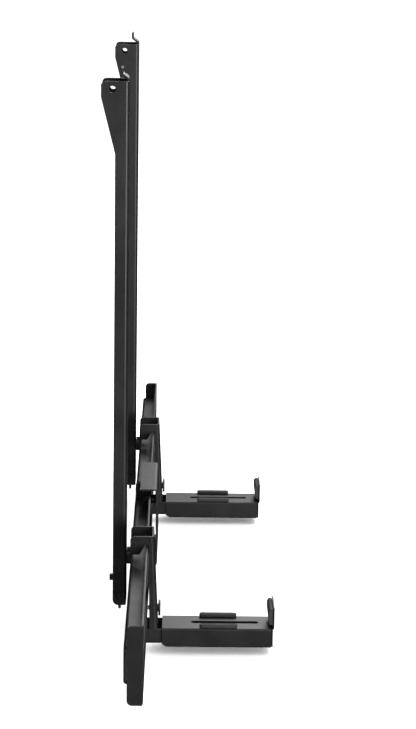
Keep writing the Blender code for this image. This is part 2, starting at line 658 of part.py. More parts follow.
def make_end_cap(name, side):
    """Plate over the bar's end with a plug inside the crown."""
    outline = rounded_outline([
        (CAP_BACK, BAR_FOOT, CAP_CORNER),
        (CAP_BACK, BAR_TOP, CAP_CORNER),
        (BAR_FRONT, BAR_TOP, CAP_EDGE),
        (BAR_FRONT, BAR_FOOT + CAP_STEP_HEIGHT + CAP_STEP, 0),
        (BAR_FRONT + CAP_STEP, BAR_FOOT + CAP_STEP_HEIGHT, 0),
        (BAR_FRONT - CAP_STEP, BAR_FOOT, CAP_EDGE),
    ])
    outer = BAR_LENGTH / 2
    inner = outer - CAP_THICKNESS
    ends = sorted((side * inner, side * outer))
    cap = prism_object(name, outline, "y", *ends)
    plug_back = max(BAR_BACK + BAR_SHEET, CAP_BACK) + GAP
    plug_low = LEDGE_FOOT + BAR_SHEET + GAP
    plug_high = LEDGE_TOP - BAR_SHEET - GAP
    plug_front = BAR_FRONT - BAR_SHEET
    plug = rounded_outline([
        (plug_back, plug_low, CAP_PLUG_EDGE),
        (plug_back, plug_high, CAP_PLUG_EDGE),
        (plug_front, plug_high, CAP_PLUG_EDGE),
        (plug_front, plug_low, CAP_PLUG_EDGE),
    ], 2)
    plug_ends = sorted((side * (inner - CAP_PLUG_LENGTH), side * (inner + CAP_THICKNESS / 2)))
    combine(cap, prism_object("plug", plug, "y", *plug_ends), "UNION")
    return cap


def make_joint_plate(name, side):
    """Plate across the bar's inner end, bolted to its twin."""
    outline = rounded_outline([
        (JOINT_PLATE_BACK, BAR_FOOT, CAP_CORNER),
        (JOINT_PLATE_BACK, BAR_TOP, CAP_CORNER),
        (BAR_FRONT, BAR_TOP, CAP_EDGE),
        (BAR_FRONT, BAR_FOOT, CAP_EDGE),
    ])
    ends = sorted((side * GAP / 2, side * (GAP / 2 + JOINT_PLATE_THICKNESS)))
    plate = prism_object(name, outline, "y", *ends)
    cutters = bmesh.new()
    for height in JOINT_BOLT_HEIGHTS:
        centre = (JOINT_BOLT_X, height)
        hole = circle_outline(centre, BOLT_RADIUS + HOLE_CLEARANCE)
        add_prism(cutters, hole, "y", ends[0] - MARGIN, ends[1] + MARGIN)
    combine(plate, make_object("plate_cutters", cutters), "DIFFERENCE")
    return plate


def make_joint_bolt(name, z):
    mesh = bmesh.new()
    face = BAR_START
    end = face + NUT_HEIGHT + BOLT_END
    profile = [(0, -face - BOLT_HEAD_HEIGHT), (BOLT_HEAD_RADIUS * 0.7, -face - BOLT_HEAD_HEIGHT),
               (BOLT_HEAD_RADIUS, -face - BOLT_HEAD_HEIGHT * 0.55), (BOLT_HEAD_RADIUS, -face),
               (BOLT_RADIUS, -face), (BOLT_RADIUS, end - BOLT_RADIUS * 0.3),
               (BOLT_RADIUS * 0.8, end), (0, end)]
    add_turned(mesh, profile, "y", (JOINT_BOLT_X, z), 16)
    return make_object(name, mesh)


def make_joint_nut(name, z):
    mesh = bmesh.new()
    centre = (JOINT_BOLT_X, z)
    outer = hexagon_outline(centre, NUT_FLATS)
    add_ring(mesh, outer, BOLT_RADIUS + HOLE_CLEARANCE, centre, "y", BAR_START, BAR_START + NUT_HEIGHT, 18)
    return make_object(name, mesh)


# Joint saddle --------------------------------------------------------------------------------

def make_saddle(name):
    """C-shaped cover over the joint, open towards the wall, with countersunk holes in its web."""
    face = [(SADDLE_BACK, SADDLE_FOOT), (SADDLE_FRONT, SADDLE_FOOT), (SADDLE_FRONT, SADDLE_TOP),
            (SADDLE_BACK, SADDLE_TOP)]
    half = SADDLE_LENGTH / 2
    saddle = prism_object(name, sheet_outline(face, SADDLE_SHEET, SADDLE_BEND), "y", -half, half)
    cutters = bmesh.new()
    shank = SCREW_RADIUS + HOLE_CLEARANCE
    head = SADDLE_SCREW_HEAD + HOLE_CLEARANCE
    foot = SADDLE_FRONT - SADDLE_SHEET
    profile = [(0, foot - MARGIN), (shank, foot - MARGIN), (shank, foot), (head, SADDLE_FRONT),
               (head, SADDLE_FRONT + MARGIN), (0, SADDLE_FRONT + MARGIN)]
    for y in SADDLE_SCREW_PLACES:
        add_turned(cutters, profile, "x", (y, BRIM_SCREW_HEIGHT), 16)
    combine(saddle, make_object("saddle_cutters", cutters), "DIFFERENCE")
    return saddle


def make_saddle_screw(name, y):
    mesh = bmesh.new()
    end = BAR_FRONT - BAR_SHEET - GAP - SMALL_NUT_HEIGHT - BOLT_END
    foot = SADDLE_FRONT - SADDLE_SHEET
    top = SADDLE_FRONT - GAP / 2
    profile = [(0, end), (SCREW_RADIUS * 0.8, end), (SCREW_RADIUS, end + SCREW_RADIUS * 0.3),
               (SCREW_RADIUS, foot), (SADDLE_SCREW_HEAD, top), (0, top)]
    add_turned(mesh, profile, "x", (y, BRIM_SCREW_HEIGHT), 16)
    return make_object(name, mesh)


def make_saddle_spacer(name, y):
    mesh = bmesh.new()
    centre = (y, BRIM_SCREW_HEIGHT)
    outer = circle_outline(centre, SADDLE_SPACER_RADIUS, 16)
    inner = SCREW_RADIUS + HOLE_CLEARANCE
    add_ring(mesh, outer, inner, centre, "x", BAR_FRONT + GAP, SADDLE_FRONT - SADDLE_SHEET - GAP, 16)
    return make_object(name, mesh)


def make_saddle_nut(name, y):
    mesh = bmesh.new()
    centre = (y, BRIM_SCREW_HEIGHT)
    top = BAR_FRONT - BAR_SHEET - GAP
    outer = hexagon_outline(centre, SMALL_NUT_FLATS)
    inner = SCREW_RADIUS + HOLE_CLEARANCE
    add_ring(mesh, outer, inner, centre, "x", top - SMALL_NUT_HEIGHT, top, 18)
    return make_object(name, mesh)


# Hanger --------------------------------------------------------------------------------------

def make_strip(name):
    """Leaning channel with a hook at its top, cut to the side view's outline."""
    half = HANGER_WIDTH / 2
    deep = STRIP_FOOT_FRONT
    section = sheet_outline([(-deep, -half), (0, -half), (0, half), (-deep, half)], HANGER_SHEET, HANGER_BEND)
    strip = prism_object(name, section, "z", ARM_FOOT - MARGIN, HANGER_TOP + 2 * MARGIN)
    lean = Matrix.Identity(4)
    lean[0][2] = -STRIP_LEAN
    lean[0][3] = STRIP_TOP_FRONT + STRIP_LEAN * HANGER_TOP
    strip.data.transform(lean)
    notch_top = BAR_TOP + GAP
    notch_back = BAR_FRONT - BAR_SHEET - NOTCH_BEHIND
    notch_front = BAR_FRONT + NOTCH_AHEAD
    side = rounded_outline([
        (HOOK_BACK, HOOK_NOSE, HOOK_NOSE_EDGE),
        (HOOK_BACK, HANGER_TOP, HOOK_CORNER),
        (STRIP_FOOT_FRONT + MARGIN, HANGER_TOP, 0),
        (STRIP_FOOT_FRONT + MARGIN, ARM_TOP - ARM_HEIGHT / 2, 0),
        (STRIP_FOOT_BACK, ARM_TOP - ARM_HEIGHT / 2, 0),
        (STRIP_FOOT_BACK, ARM_TOP, 0),
        (notch_front, notch_top, NOTCH_CORNER),
        (notch_back, notch_top, NOTCH_CORNER),
        (notch_back - NOTCH_LEAD, HOOK_NOSE, NOTCH_LEAD_EDGE),
    ], 4)
    combine(strip, prism_object("strip_side", side, "y", -HANGER_WIDTH, HANGER_WIDTH), "INTERSECT")
    return strip


def make_arm():
    """Open-topped channel that the shelf slides on."""
    half = HANGER_WIDTH / 2
    top = ARM_TOP + MARGIN
    face = [(-half, top), (-half, ARM_FOOT), (half, ARM_FOOT), (half, top)]
    section = sheet_outline(face, HANGER_SHEET, HANGER_BEND)
    arm = prism_object("arm", section, "x", ARM_BACK - MARGIN, ARM_FRONT + MARGIN)
    side = rounded_outline([
        (ARM_BACK, ARM_TOP, ARM_EDGE),
        (ARM_BACK, ARM_FOOT - MARGIN, 0),
        (ARM_FRONT, ARM_FOOT - MARGIN, 0),
        (ARM_FRONT, ARM_TOP, ARM_CORNER),
    ], 4)
    combine(arm, prism_object("arm_side", side, "y", -HANGER_WIDTH, HANGER_WIDTH), "INTERSECT")
    return arm


def make_hanger(name):
    hanger = make_strip(name)
    opening = [(STRIP_TOP_FRONT - HANGER_SHEET * 3, ARM_TOP), (STRIP_FOOT_FRONT + MARGIN, ARM_TOP),
               (STRIP_FOOT_FRONT + MARGIN, ARM_FOOT), (STRIP_TOP_FRONT - HANGER_SHEET * 3, ARM_FOOT)]
    inner = HANGER_WIDTH / 2 - HANGER_SHEET
    combine(hanger, prism_object("web_foot", opening, "y", -inner, inner), "DIFFERENCE")
    combine(hanger, make_arm(), "UNION")
    cutters = bmesh.new()
    hole = circle_outline((0, CLAMP_SCREW_HEIGHT), SCREW_RADIUS + HOLE_CLEARANCE, 16)
    add_prism(cutters, hole, "x", STRIP_TOP_FRONT - MARGIN, STRIP_FOOT_FRONT + MARGIN)
    length = SHELF_TRAVEL + 2 * (LOCK_HOLE_RADIUS + GAP)
    centre = (LOCK_SCREW_X + SHELF_TRAVEL / 2, ARM_MIDDLE_Z)
    travel_slot = slot_outline(centre, length, 2 * LOCK_HOLE_RADIUS)
    add_prism(cutters, travel_slot, "y", inner - MARGIN, HANGER_WIDTH / 2 + MARGIN)
    combine(hanger, make_object("hanger_cutters", cutters), "DIFFERENCE")
    return hanger


def make_clamp_screw(name):
    """Screw that presses on the lower brim, with a wide flat head."""
    mesh = bmesh.new()
    tip = BAR_FRONT + GAP
    collar = STRIP_CLAMP_FRONT + GAP
    front = CLAMP_HEAD_BACK + CLAMP_HEAD_THICKNESS
    edge = CLAMP_HEAD_THICKNESS * 0.25
    profile = [(0, tip), (SCREW_RADIUS * 0.7, tip), (SCREW_RADIUS, tip + SCREW_RADIUS * 0.4),
               (SCREW_RADIUS, collar), (CLAMP_COLLAR_RADIUS, collar), (CLAMP_COLLAR_RADIUS, CLAMP_HEAD_BACK),
               (CLAMP_HEAD_RADIUS - edge, CLAMP_HEAD_BACK), (CLAMP_HEAD_RADIUS, CLAMP_HEAD_BACK + edge),
               (CLAMP_HEAD_RADIUS, front - edge), (CLAMP_HEAD_RADIUS - edge, front), (0, front)]
    add_turned(mesh, profile, "x", (0, CLAMP_SCREW_HEIGHT))
    return make_object(name, mesh)


def make_clamp_nut(name):
    mesh = bmesh.new()
    centre = (0, CLAMP_SCREW_HEIGHT)
    lean_room = STRIP_LEAN * SMALL_NUT_FLATS * 0.6
    top = STRIP_CLAMP_FRONT - HANGER_SHEET - GAP - lean_room
    outer = hexagon_outline(centre, SMALL_NUT_FLATS)
    add_ring(mesh, outer, SCREW_RADIUS + HOLE_CLEARANCE, centre, "x", top - SMALL_NUT_HEIGHT, top, 18)
    return make_object(name, mesh)


def make_arm_glide(name):
    """Plastic block in the arm's end with a flange that runs inside the shelf."""
    inner = HANGER_WIDTH / 2 - HANGER_SHEET - GAP
    low = ARM_FOOT + HANGER_SHEET + GAP
    block = rounded_outline([(-inner, low, HANGER_BEND), (inner, low, HANGER_BEND),
                             (inner, ARM_TOP, 0), (-inner, ARM_TOP, 0)], 3)
    glide = prism_object(name, block, "x", ARM_FRONT - GLIDE_BLOCK, ARM_FRONT + GAP + GLIDE_FLANGE / 2)
    wide = SHELF_WIDTH / 2 - SHELF_WALL - GLIDE_FIT
    high = -SHELF_WALL - GLIDE_FIT
    foot = -SHELF_HEIGHT + SHELF_WALL + GLIDE_FIT
    flange = box_outline(2 * wide, foot, high, GLIDE_EDGE)
    front = ARM_FRONT + GAP + GLIDE_FLANGE
    combine(glide, prism_object("glide_flange", flange, "x", ARM_FRONT + GAP, front), "UNION")
    return glide


# Shelf ---------------------------------------------------------------------------------------

def box_outline(width, low, high, radius, steps=3):
    half = width / 2
    return rounded_outline([(-half, low, radius), (half, low, radius), (half, high, radius),
                            (-half, high, radius)], steps)


def make_shelf(name):
    """Sleeve with a bent-up front lip, a long slot on top and a relieved rear foot."""
    outer = box_outline(SHELF_WIDTH, -SHELF_HEIGHT, 0, SHELF_CORNER)
    shelf = prism_object(name, outer, "x", SHELF_BACK, SHELF_FRONT)
    for start, width in ((SHELF_FRONT - MARGIN, LIP_ROOT_WIDTH), (SHELF_FRONT + GAP, LIP_WIDTH)):
        lip_face = [(start, -SHELF_WALL), (LIP_FRONT, -SHELF_WALL), (LIP_FRONT, LIP_TOP)]
        lip = prism_object("lip", sheet_outline(lip_face, SHELF_WALL, LIP_BEND), "y", -width / 2, width / 2)
        combine(shelf, lip, "UNION")
    inner = box_outline(SHELF_WIDTH - 2 * SHELF_WALL, -SHELF_HEIGHT + SHELF_WALL, -SHELF_WALL,
                        SHELF_CORNER - SHELF_WALL, 2)
    bore = prism_object("bore", inner, "x", SHELF_BACK - MARGIN, SHELF_FRONT + MARGIN / 2)
    combine(shelf, bore, "DIFFERENCE")
    cutters = bmesh.new()
    slot = slot_outline(((SLOT_BACK + SLOT_FRONT) / 2, 0), SLOT_FRONT - SLOT_BACK, SLOT_WIDTH)
    add_prism(cutters, slot, "z", -SHELF_WALL - MARGIN, MARGIN)
    hole = circle_outline((LOCK_SCREW_X, ARM_MIDDLE_Z), LOCK_HOLE_RADIUS, 16)
    add_prism(cutters, hole, "y", SHELF_WIDTH / 2 - SHELF_WALL - MARGIN / 2, SHELF_WIDTH / 2 + MARGIN)
    relief = [(SHELF_BACK - MARGIN, -SHELF_HEIGHT - MARGIN),
              (SHELF_BACK + SHELF_RELIEF_LENGTH, -SHELF_HEIGHT - MARGIN),
              (SHELF_BACK + SHELF_RELIEF_LENGTH, -SHELF_HEIGHT),
              (SHELF_BACK, -SHELF_HEIGHT + SHELF_RELIEF_HEIGHT),
              (SHELF_BACK - MARGIN, -SHELF_HEIGHT + SHELF_RELIEF_HEIGHT)]
    add_prism(cutters, relief, "y", -SHELF_WIDTH, SHELF_WIDTH)
    combine(shelf, make_object("shelf_cutters", cutters), "DIFFERENCE")
    return shelf


def make_lip_pad(name):
    """Rubber pad on the lip's inner face, thicker at its top."""
    back = LIP_FRONT - SHELF_WALL - GAP
    outline = rounded_outline([
        (back, LIP_PAD_LOW, LIP_PAD_EDGE),
        (back, LIP_PAD_HIGH, LIP_PAD_EDGE),
        (back - LIP_PAD_TOP_THICKNESS, LIP_PAD_HIGH, LIP_PAD_NOSE),
        (back - LIP_PAD_FOOT_THICKNESS, LIP_PAD_LOW, LIP_PAD_HEEL),
    ], 3)
    half = LIP_PAD_WIDTH / 2
    return prism_object(name, outline, "y", -half, half)


def make_shelf_pad(name, side):
    """Rubber strip beside the slot, with round ends and a chamfered top edge."""
    length = PAD_FRONT - PAD_BACK
    middle = side * (SHELF_WIDTH / 2 - PAD_INSET - PAD_WIDTH / 2)
    mesh = bmesh.new()
    centre = ((PAD_BACK + PAD_FRONT) / 2, middle)
    chamfer = PAD_HEIGHT * 0.25
    levels = [(GAP, 0.0), (GAP + PAD_HEIGHT - chamfer, 0.0), (GAP + PAD_HEIGHT, chamfer)]
    rings = []
    for height, inset in levels:
        outline = slot_outline(centre, length - 2 * inset, PAD_WIDTH - 2 * inset, 6)
        rings.append([mesh.verts.new((u, v, height)) for u, v in outline])
    mesh.faces.new(rings[0][::-1])
    mesh.faces.new(rings[-1])
    count = len(rings[0])
    for lower, upper in zip(rings, rings[1:]):
        for i in range(count):
            j = (i + 1) % count
            mesh.faces.new((lower[i], lower[j], upper[j], upper[i]))
    bmesh.ops.recalc_face_normals(mesh, faces=mesh.faces)
    return make_object(name, mesh)


def make_shelf_plug(name):
    """Plastic plug in the shelf's front end, below the lip's bend."""
    wide = SHELF_WIDTH - 2 * (SHELF_WALL + GAP)
    low = -SHELF_HEIGHT + SHELF_WALL + GAP
    high = -SHELF_WALL - GAP
    insert = box_outline(wide, low, high, PLUG_EDGE)
    front = SHELF_FRONT + GAP + PLUG_FLANGE
    plug = prism_object(name, insert, "x", SHELF_FRONT - PLUG_INSERT, SHELF_FRONT + GAP + PLUG_FLANGE / 2)
    flange_foot = -SHELF_HEIGHT + PLUG_INSET
    flange = box_outline(SHELF_WIDTH - 2 * PLUG_INSET, flange_foot, high, PLUG_CORNER)
    combine(plug, prism_object("plug_flange", flange, "x", SHELF_FRONT + GAP, front), "UNION")
    return plug


def make_lock_screw(name):
    """Screw through the shelf's far wall into the arm's travel slot."""
    mesh = bmesh.new()
    seat = SHELF_WIDTH / 2 + GAP
    end = HANGER_WIDTH / 2 - HANGER_SHEET - GAP - SMALL_NUT_HEIGHT - LOCK_SCREW_END
    profile = [(0, end), (SCREW_RADIUS * 0.8, end), (SCREW_RADIUS, end + SCREW_RADIUS * 0.3),
               (SCREW_RADIUS, seat), (LOCK_HEAD_RADIUS, seat),
               (LOCK_HEAD_RADIUS, seat + LOCK_HEAD_HEIGHT * 0.5),
               (LOCK_HEAD_RADIUS * 0.75, seat + LOCK_HEAD_HEIGHT), (0, seat + LOCK_HEAD_HEIGHT)]
    add_turned(mesh, profile, "y", (LOCK_SCREW_X, ARM_MIDDLE_Z), 16)
    return make_object(name, mesh)


def make_lock_nut(name):
    mesh = bmesh.new()
    centre = (LOCK_SCREW_X, ARM_MIDDLE_Z)
    top = HANGER_WIDTH / 2 - HANGER_SHEET - GAP
    outer = hexagon_outline(centre, SMALL_NUT_FLATS)
    add_ring(mesh, outer, LOCK_HOLE_RADIUS, centre, "y", top - SMALL_NUT_HEIGHT, top, 18)
    return make_object(name, mesh)


# Assembly ------------------------------------------------------------------------------------

FINISHES = {
    "steel": ((0.016, 0.016, 0.017), 0.42, 0.0),
    "zinc": ((0.10, 0.10, 0.105), 0.38, 0.9),
    "plastic": ((0.010, 0.010, 0.011), 0.50, 0.0),
    "rubber": ((0.014, 0.014, 0.014), 0.80, 0.0),
    "spring": ((0.30, 0.30, 0.31), 0.30, 1.0),
}


def finish(name, kind):
    color, roughness, metallic = FINISHES[kind]
    return make_material(name, color, roughness, metallic)


def numbered(piece_name, maker, kind, places):
    """One entry for each copy of a fastener, with its place built in."""
    return [(f"{piece_name}_{i}", lambda name, at=at: maker(name, at), kind)
            for i, at in enumerate(places, 1)]


def build_rail_pair():
    """Pieces that slide along the crossbar with each rail, and the latch that turns in it."""
    makers = [
        ("rail", make_rail, "steel"),
        *numbered("rail_bolt", make_rail_bolt, "zinc", RAIL_BOLT_PLACES),
        *numbered("rail_spacer", make_rail_spacer, "plastic", RAIL_BOLT_PLACES),
        *numbered("rail_nut", make_rail_nut, "zinc", RAIL_BOLT_PLACES),
        ("latch_pin", make_latch_pin, "zinc"),
        ("latch_spring", make_latch_spring, "spring"),
    ]
    near = make_group("near_rail_slide", NEAR_RAIL_Y)
    far = make_group("far_rail_slide", FAR_RAIL_Y)
    pair_up(makers, near, far)
    pivot = (-LATCH_PIVOT_BACK, 0.0, LATCH_PIVOT_HEIGHT)
    near_pivot = make_group("near_latch_pivot", NEAR_RAIL_Y, pivot)
    far_pivot = make_group("far_latch_pivot", FAR_RAIL_Y, pivot)
    pair_up([("latch", make_latch, "zinc")], near_pivot, far_pivot)


def build_hanger_pair():
    """Hangers with their clamp screws, and the shelves that slide on them."""
    makers = [
        ("hanger", make_hanger, "steel"),
        ("clamp_screw", make_clamp_screw, "zinc"),
        ("clamp_nut", make_clamp_nut, "zinc"),
        ("arm_glide", make_arm_glide, "plastic"),
    ]
    near = make_group("near_hanger_slide", NEAR_HANGER_Y)
    far = make_group("far_hanger_slide", FAR_HANGER_Y)
    pair_up(makers, near, far)
    shelf_makers = [
        ("shelf", make_shelf, "steel"),
        ("lip_pad", make_lip_pad, "rubber"),
        *numbered("shelf_pad", make_shelf_pad, "rubber", (-1, 1)),
        ("shelf_plug", make_shelf_plug, "plastic"),
        ("lock_screw", make_lock_screw, "zinc"),
        ("lock_nut", make_lock_nut, "zinc"),
    ]
    near_shelf = make_group("near_shelf_slide", NEAR_HANGER_Y)
    far_shelf = make_group("far_shelf_slide", FAR_HANGER_Y)
    pair_up(shelf_makers, near_shelf, far_shelf)


def pair_up(makers, near_group, far_group):
    """Make each piece once for the near side and copy it to the far side."""
    for piece_name, maker, kind in makers:
        near_name = "near_" + piece_name
        far_name = "far_" + piece_name
        near = maker(near_name)
        place(near, finish(near_name, kind), near_group)
        copy_piece(near, far_name, far_group, finish(far_name, kind))


def build_crossbar():
    """Fixed pieces: two halves with their caps and joint plates, and the saddle over the joint."""
    group = make_group("crossbar", 0.0)
    for prefix, side in (("near", -1), ("far", 1)):
        place(make_half_bar(prefix + "_half_bar", side), finish(prefix + "_half_bar", "steel"), group)
        place(make_end_cap(prefix + "_end_cap", side), finish(prefix + "_end_cap", "plastic"), group)
        plate = make_joint_plate(prefix + "_joint_plate", side)
        place(plate, finish(prefix + "_joint_plate", "steel"), group)
    makers = [
        *numbered("joint_bolt", make_joint_bolt, "zinc", JOINT_BOLT_HEIGHTS),
        *numbered("joint_nut", make_joint_nut, "zinc", JOINT_BOLT_HEIGHTS),
        ("joint_saddle", make_saddle, "steel"),
        *numbered("saddle_screw", make_saddle_screw, "zinc", SADDLE_SCREW_PLACES),
        *numbered("saddle_spacer", make_saddle_spacer, "zinc", SADDLE_SCREW_PLACES),
        *numbered("saddle_nut", make_saddle_nut, "zinc", SADDLE_SCREW_PLACES),
    ]
    for name, maker, kind in makers:
        place(maker(name), finish(name, kind), group)


def main():
    clear_scene()
    build_crossbar()
    build_rail_pair()
    build_hanger_pair()
    bpy.context.view_layer.update()


main()
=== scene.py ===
import json
import math

import bmesh
import bpy
import numpy as np
from mathutils import Matrix, Vector

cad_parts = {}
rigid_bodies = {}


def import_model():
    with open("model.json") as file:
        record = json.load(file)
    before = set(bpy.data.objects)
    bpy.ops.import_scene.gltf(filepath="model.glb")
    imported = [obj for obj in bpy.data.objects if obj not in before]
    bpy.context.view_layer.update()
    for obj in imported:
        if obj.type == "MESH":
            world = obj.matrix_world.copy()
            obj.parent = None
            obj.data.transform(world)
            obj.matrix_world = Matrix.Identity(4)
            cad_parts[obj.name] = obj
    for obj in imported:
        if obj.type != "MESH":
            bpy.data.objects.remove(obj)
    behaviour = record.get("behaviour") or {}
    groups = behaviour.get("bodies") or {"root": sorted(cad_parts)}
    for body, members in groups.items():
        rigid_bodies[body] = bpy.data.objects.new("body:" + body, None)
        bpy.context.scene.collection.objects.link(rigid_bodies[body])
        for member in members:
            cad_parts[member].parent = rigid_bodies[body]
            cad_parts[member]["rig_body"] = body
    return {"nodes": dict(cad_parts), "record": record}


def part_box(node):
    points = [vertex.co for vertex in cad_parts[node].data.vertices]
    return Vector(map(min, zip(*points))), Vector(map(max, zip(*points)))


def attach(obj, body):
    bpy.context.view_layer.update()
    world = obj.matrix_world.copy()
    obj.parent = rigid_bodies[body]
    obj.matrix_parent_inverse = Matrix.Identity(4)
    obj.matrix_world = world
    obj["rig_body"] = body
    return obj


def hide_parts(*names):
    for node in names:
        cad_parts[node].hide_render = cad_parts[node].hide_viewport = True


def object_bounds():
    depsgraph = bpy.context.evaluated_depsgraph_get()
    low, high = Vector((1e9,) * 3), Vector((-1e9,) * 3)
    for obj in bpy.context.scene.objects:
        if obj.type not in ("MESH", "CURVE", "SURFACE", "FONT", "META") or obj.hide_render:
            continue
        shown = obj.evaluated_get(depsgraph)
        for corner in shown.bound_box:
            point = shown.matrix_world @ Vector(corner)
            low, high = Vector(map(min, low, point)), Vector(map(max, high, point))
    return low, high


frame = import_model()
cadLow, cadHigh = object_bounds()
railLow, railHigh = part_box("near_rail")
faceX = railHigh.x     # X of the rails' television face; every piece is drawn from it
footZ = railLow.z      # Z of the rails' foot; every piece is drawn from it
slots = {part["node"]: part["material_slot"] for part in frame["record"]["subparts"]}


def middleY(*nodes):
    # halfway between the lowest and the highest Y of some nodes
    boxes = [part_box(node) for node in nodes]
    return (min(low.y for low, high in boxes) + max(high.y for low, high in boxes)) / 2


barMiddle = middleY("near_half_bar", "far_half_bar")
pairMiddles = {group: {side: middleY(side + "_" + group) for side in ("near", "far")}
               for group in ("rail", "hanger")}


# camera and light

cameraSetup = {
    "place": (0.0541, -2.1540, 0.7749),    # X from the rails' face, Y in the row, Z from their foot
    "lens": 95.5,
    "yaw": 0.799,                           # degrees to the right of the crossbar's line
    "pitch": 10.472,                        # degrees below the level
    "roll": 0.826,
    "shift": -0.2,
}


def makeCamera(setup):
    data = bpy.data.cameras.new("camera")
    data.lens = setup["lens"]
    data.sensor_width = 36.0
    data.shift_y = setup["shift"]
    data.dof.use_dof = False
    camera = bpy.data.objects.new("camera", data)
    bpy.context.scene.collection.objects.link(camera)
    x, y, z = setup["place"]
    turn = Matrix.Rotation(-math.radians(setup["yaw"]), 4, "Z")
    tip = Matrix.Rotation(math.pi / 2 - math.radians(setup["pitch"]), 4, "X")
    roll = Matrix.Rotation(math.radians(setup["roll"]), 4, "Z")
    camera.matrix_world = Matrix.Translation((faceX + x, y, footZ + z)) @ turn @ tip @ roll
    bpy.context.scene.camera = camera


lightSetup = {
    "key": {"place": (0.9, 1.9, 1.5), "size": (2.2, 2.2), "power": 88.0},
    "overhead": {"place": (0.4, 0.2, 2.2), "size": (2.4, 2.4), "power": 35.0},
    "front": {"place": (1.5, -2.4, -0.1), "size": (1.2, 1.2), "power": 80.0},
    "target": (0.05, 0.0, -0.35),
    "sky": 1.3,
    "floorDrop": 0.008,                    # below the object's lowest point
    "floorSize": 60.0,
    "floorColour": (0.93, 0.93, 0.93, 1.0),
}


def makeLights(setup):
    target = Vector(setup["target"])
    for name in ("key", "overhead", "front"):
        data = bpy.data.lights.new(name, "AREA")
        data.shape = "RECTANGLE"
        data.size, data.size_y = setup[name]["size"]
        data.energy = setup[name]["power"]
        lamp = bpy.data.objects.new(name, data)
        bpy.context.scene.collection.objects.link(lamp)
        lamp.location = setup[name]["place"]
        lamp.rotation_euler = (target - lamp.location).to_track_quat("-Z", "Y").to_euler()
        lamp.visible_camera = False
    world = bpy.data.worlds.new("studio")
    world.use_nodes = True
    world.node_tree.nodes["Background"].inputs["Color"].default_value = (1, 1, 1, 1)
    world.node_tree.nodes["Background"].inputs["Strength"].default_value = setup["sky"]
    world.cycles_visibility.glossy = False    # the black coat mirrors the soft boxes only
    bpy.context.scene.world = world
    bpy.context.scene.view_settings.view_transform = "Standard"


def makeFloor(setup):
    half = setup["floorSize"] / 2
    height = cadLow.z - setup["floorDrop"]
    corners = [(-half, -half, height), (half, -half, height), (half, half, height), (-half, half, height)]
    mesh = bpy.data.meshes.new("floor")
    mesh.from_pydata(corners, [], [(0, 1, 2, 3)])
    floor = bpy.data.objects.new("floor", mesh)
    bpy.context.scene.collection.objects.link(floor)
    material = bpy.data.materials.new("paleFloor")
    material.use_nodes = True
    shader = material.node_tree.nodes["Principled BSDF"]
    shader.inputs["Base Color"].default_value = setup["floorColour"]
    shader.inputs["Roughness"].default_value = 0.9
    shader.inputs["Specular IOR Level"].default_value = 0.1
    mesh.materials.append(material)
    floor.visible_glossy = False


# outlines as arrays

def unit(vectors):
    return vectors / np.maximum(np.linalg.norm(vectors, axis=-1, keepdims=True), 1e-12)


def crossed(a, b):
    return a[..., 0] * b[..., 1] - a[..., 1] * b[..., 0]


def rounded(corners, steps=6, closed=True):
    # corners are (u, v, radius); a circle of that radius touches both sides at each corner, and the
    # outline follows its arc: centre + first point turned by equal shares of the angle between them
    table = np.asarray(corners, float)
    place, radius = table[:, :2], table[:, 2].copy()
    if not closed:
        radius[[0, -1]] = 0
    back = unit(np.roll(place, 1, 0) - place)
    ahead = unit(np.roll(place, -1, 0) - place)
    half = np.arccos(np.clip((back * ahead).sum(1), -1, 1)) / 2
    centre = place + unit(back + ahead) * (radius / np.sin(half))[:, None]
    first = place + back * (radius / np.tan(half))[:, None] - centre
    last = place + ahead * (radius / np.tan(half))[:, None] - centre
    turn = np.arctan2(crossed(first, last), (first * last).sum(1))[:, None] * np.linspace(0, 1, steps + 1)
    u = centre[:, :1] + first[:, :1] * np.cos(turn) - first[:, 1:] * np.sin(turn)
    v = centre[:, 1:] + first[:, :1] * np.sin(turn) + first[:, 1:] * np.cos(turn)
    points = np.stack([u, v], -1).reshape(-1, 2)
    apart = np.linalg.norm(points - np.roll(points, 1, 0), axis=1) > 1e-7
    if not closed:
        apart[0] = True
    return points[apart]


def folded(path, sheet, bend, steps=8):
    # outline of bent sheet: the path, and the path moved one thickness to its left along the mitres,
    # with the inner radius on the inside of each bend and inner radius + thickness on the outside
    face = np.asarray(path, float)
    run = unit(np.diff(face, axis=0))
    left = np.stack([-run[:, 1], run[:, 0]], 1)
    before, after = np.vstack([left[:1], left]), np.vstack([left, left[-1:]])
    mitre = (before + after) / (1 + (before * after).sum(1, keepdims=True))
    turnsLeft = crossed(run[:-1], run[1:]) > 0
    near = np.concatenate([[0], np.where(turnsLeft, bend + sheet, bend), [0]])
    far = np.concatenate([[0], np.where(turnsLeft, bend, bend + sheet), [0]])
    other = face + mitre * sheet
    corners = np.vstack([np.column_stack([face, near]), np.column_stack([other, far])[::-1]])
    return rounded(corners, steps)


def stadium(centre, length, width, steps=10):
    # slot with half circles at both ends, its long way along the first coordinate
    u, v = centre
    a, b, radius = length / 2, width / 2, width / 2 * 0.9999
    corners = [(u - a, v - b, radius), (u + a, v - b, radius), (u + a, v + b, radius), (u - a, v + b, radius)]
    return rounded(corners, steps)


def block(low, high, radius, steps=6):
    corners = [(low[0], low[1], radius), (high[0], low[1], radius),
               (high[0], high[1], radius), (low[0], high[1], radius)]
    return rounded(corners, steps)


def circle(centre, radius, sides=48):
    angle = np.arange(sides) * 2 * np.pi / sides
    return np.stack([centre[0] + radius * np.cos(angle), centre[1] + radius * np.sin(angle)], 1)


# meshes from arrays

overrun = 0.002                            # cutters run this far past what they cut
beyond = 0.03                              # clears the width of any piece


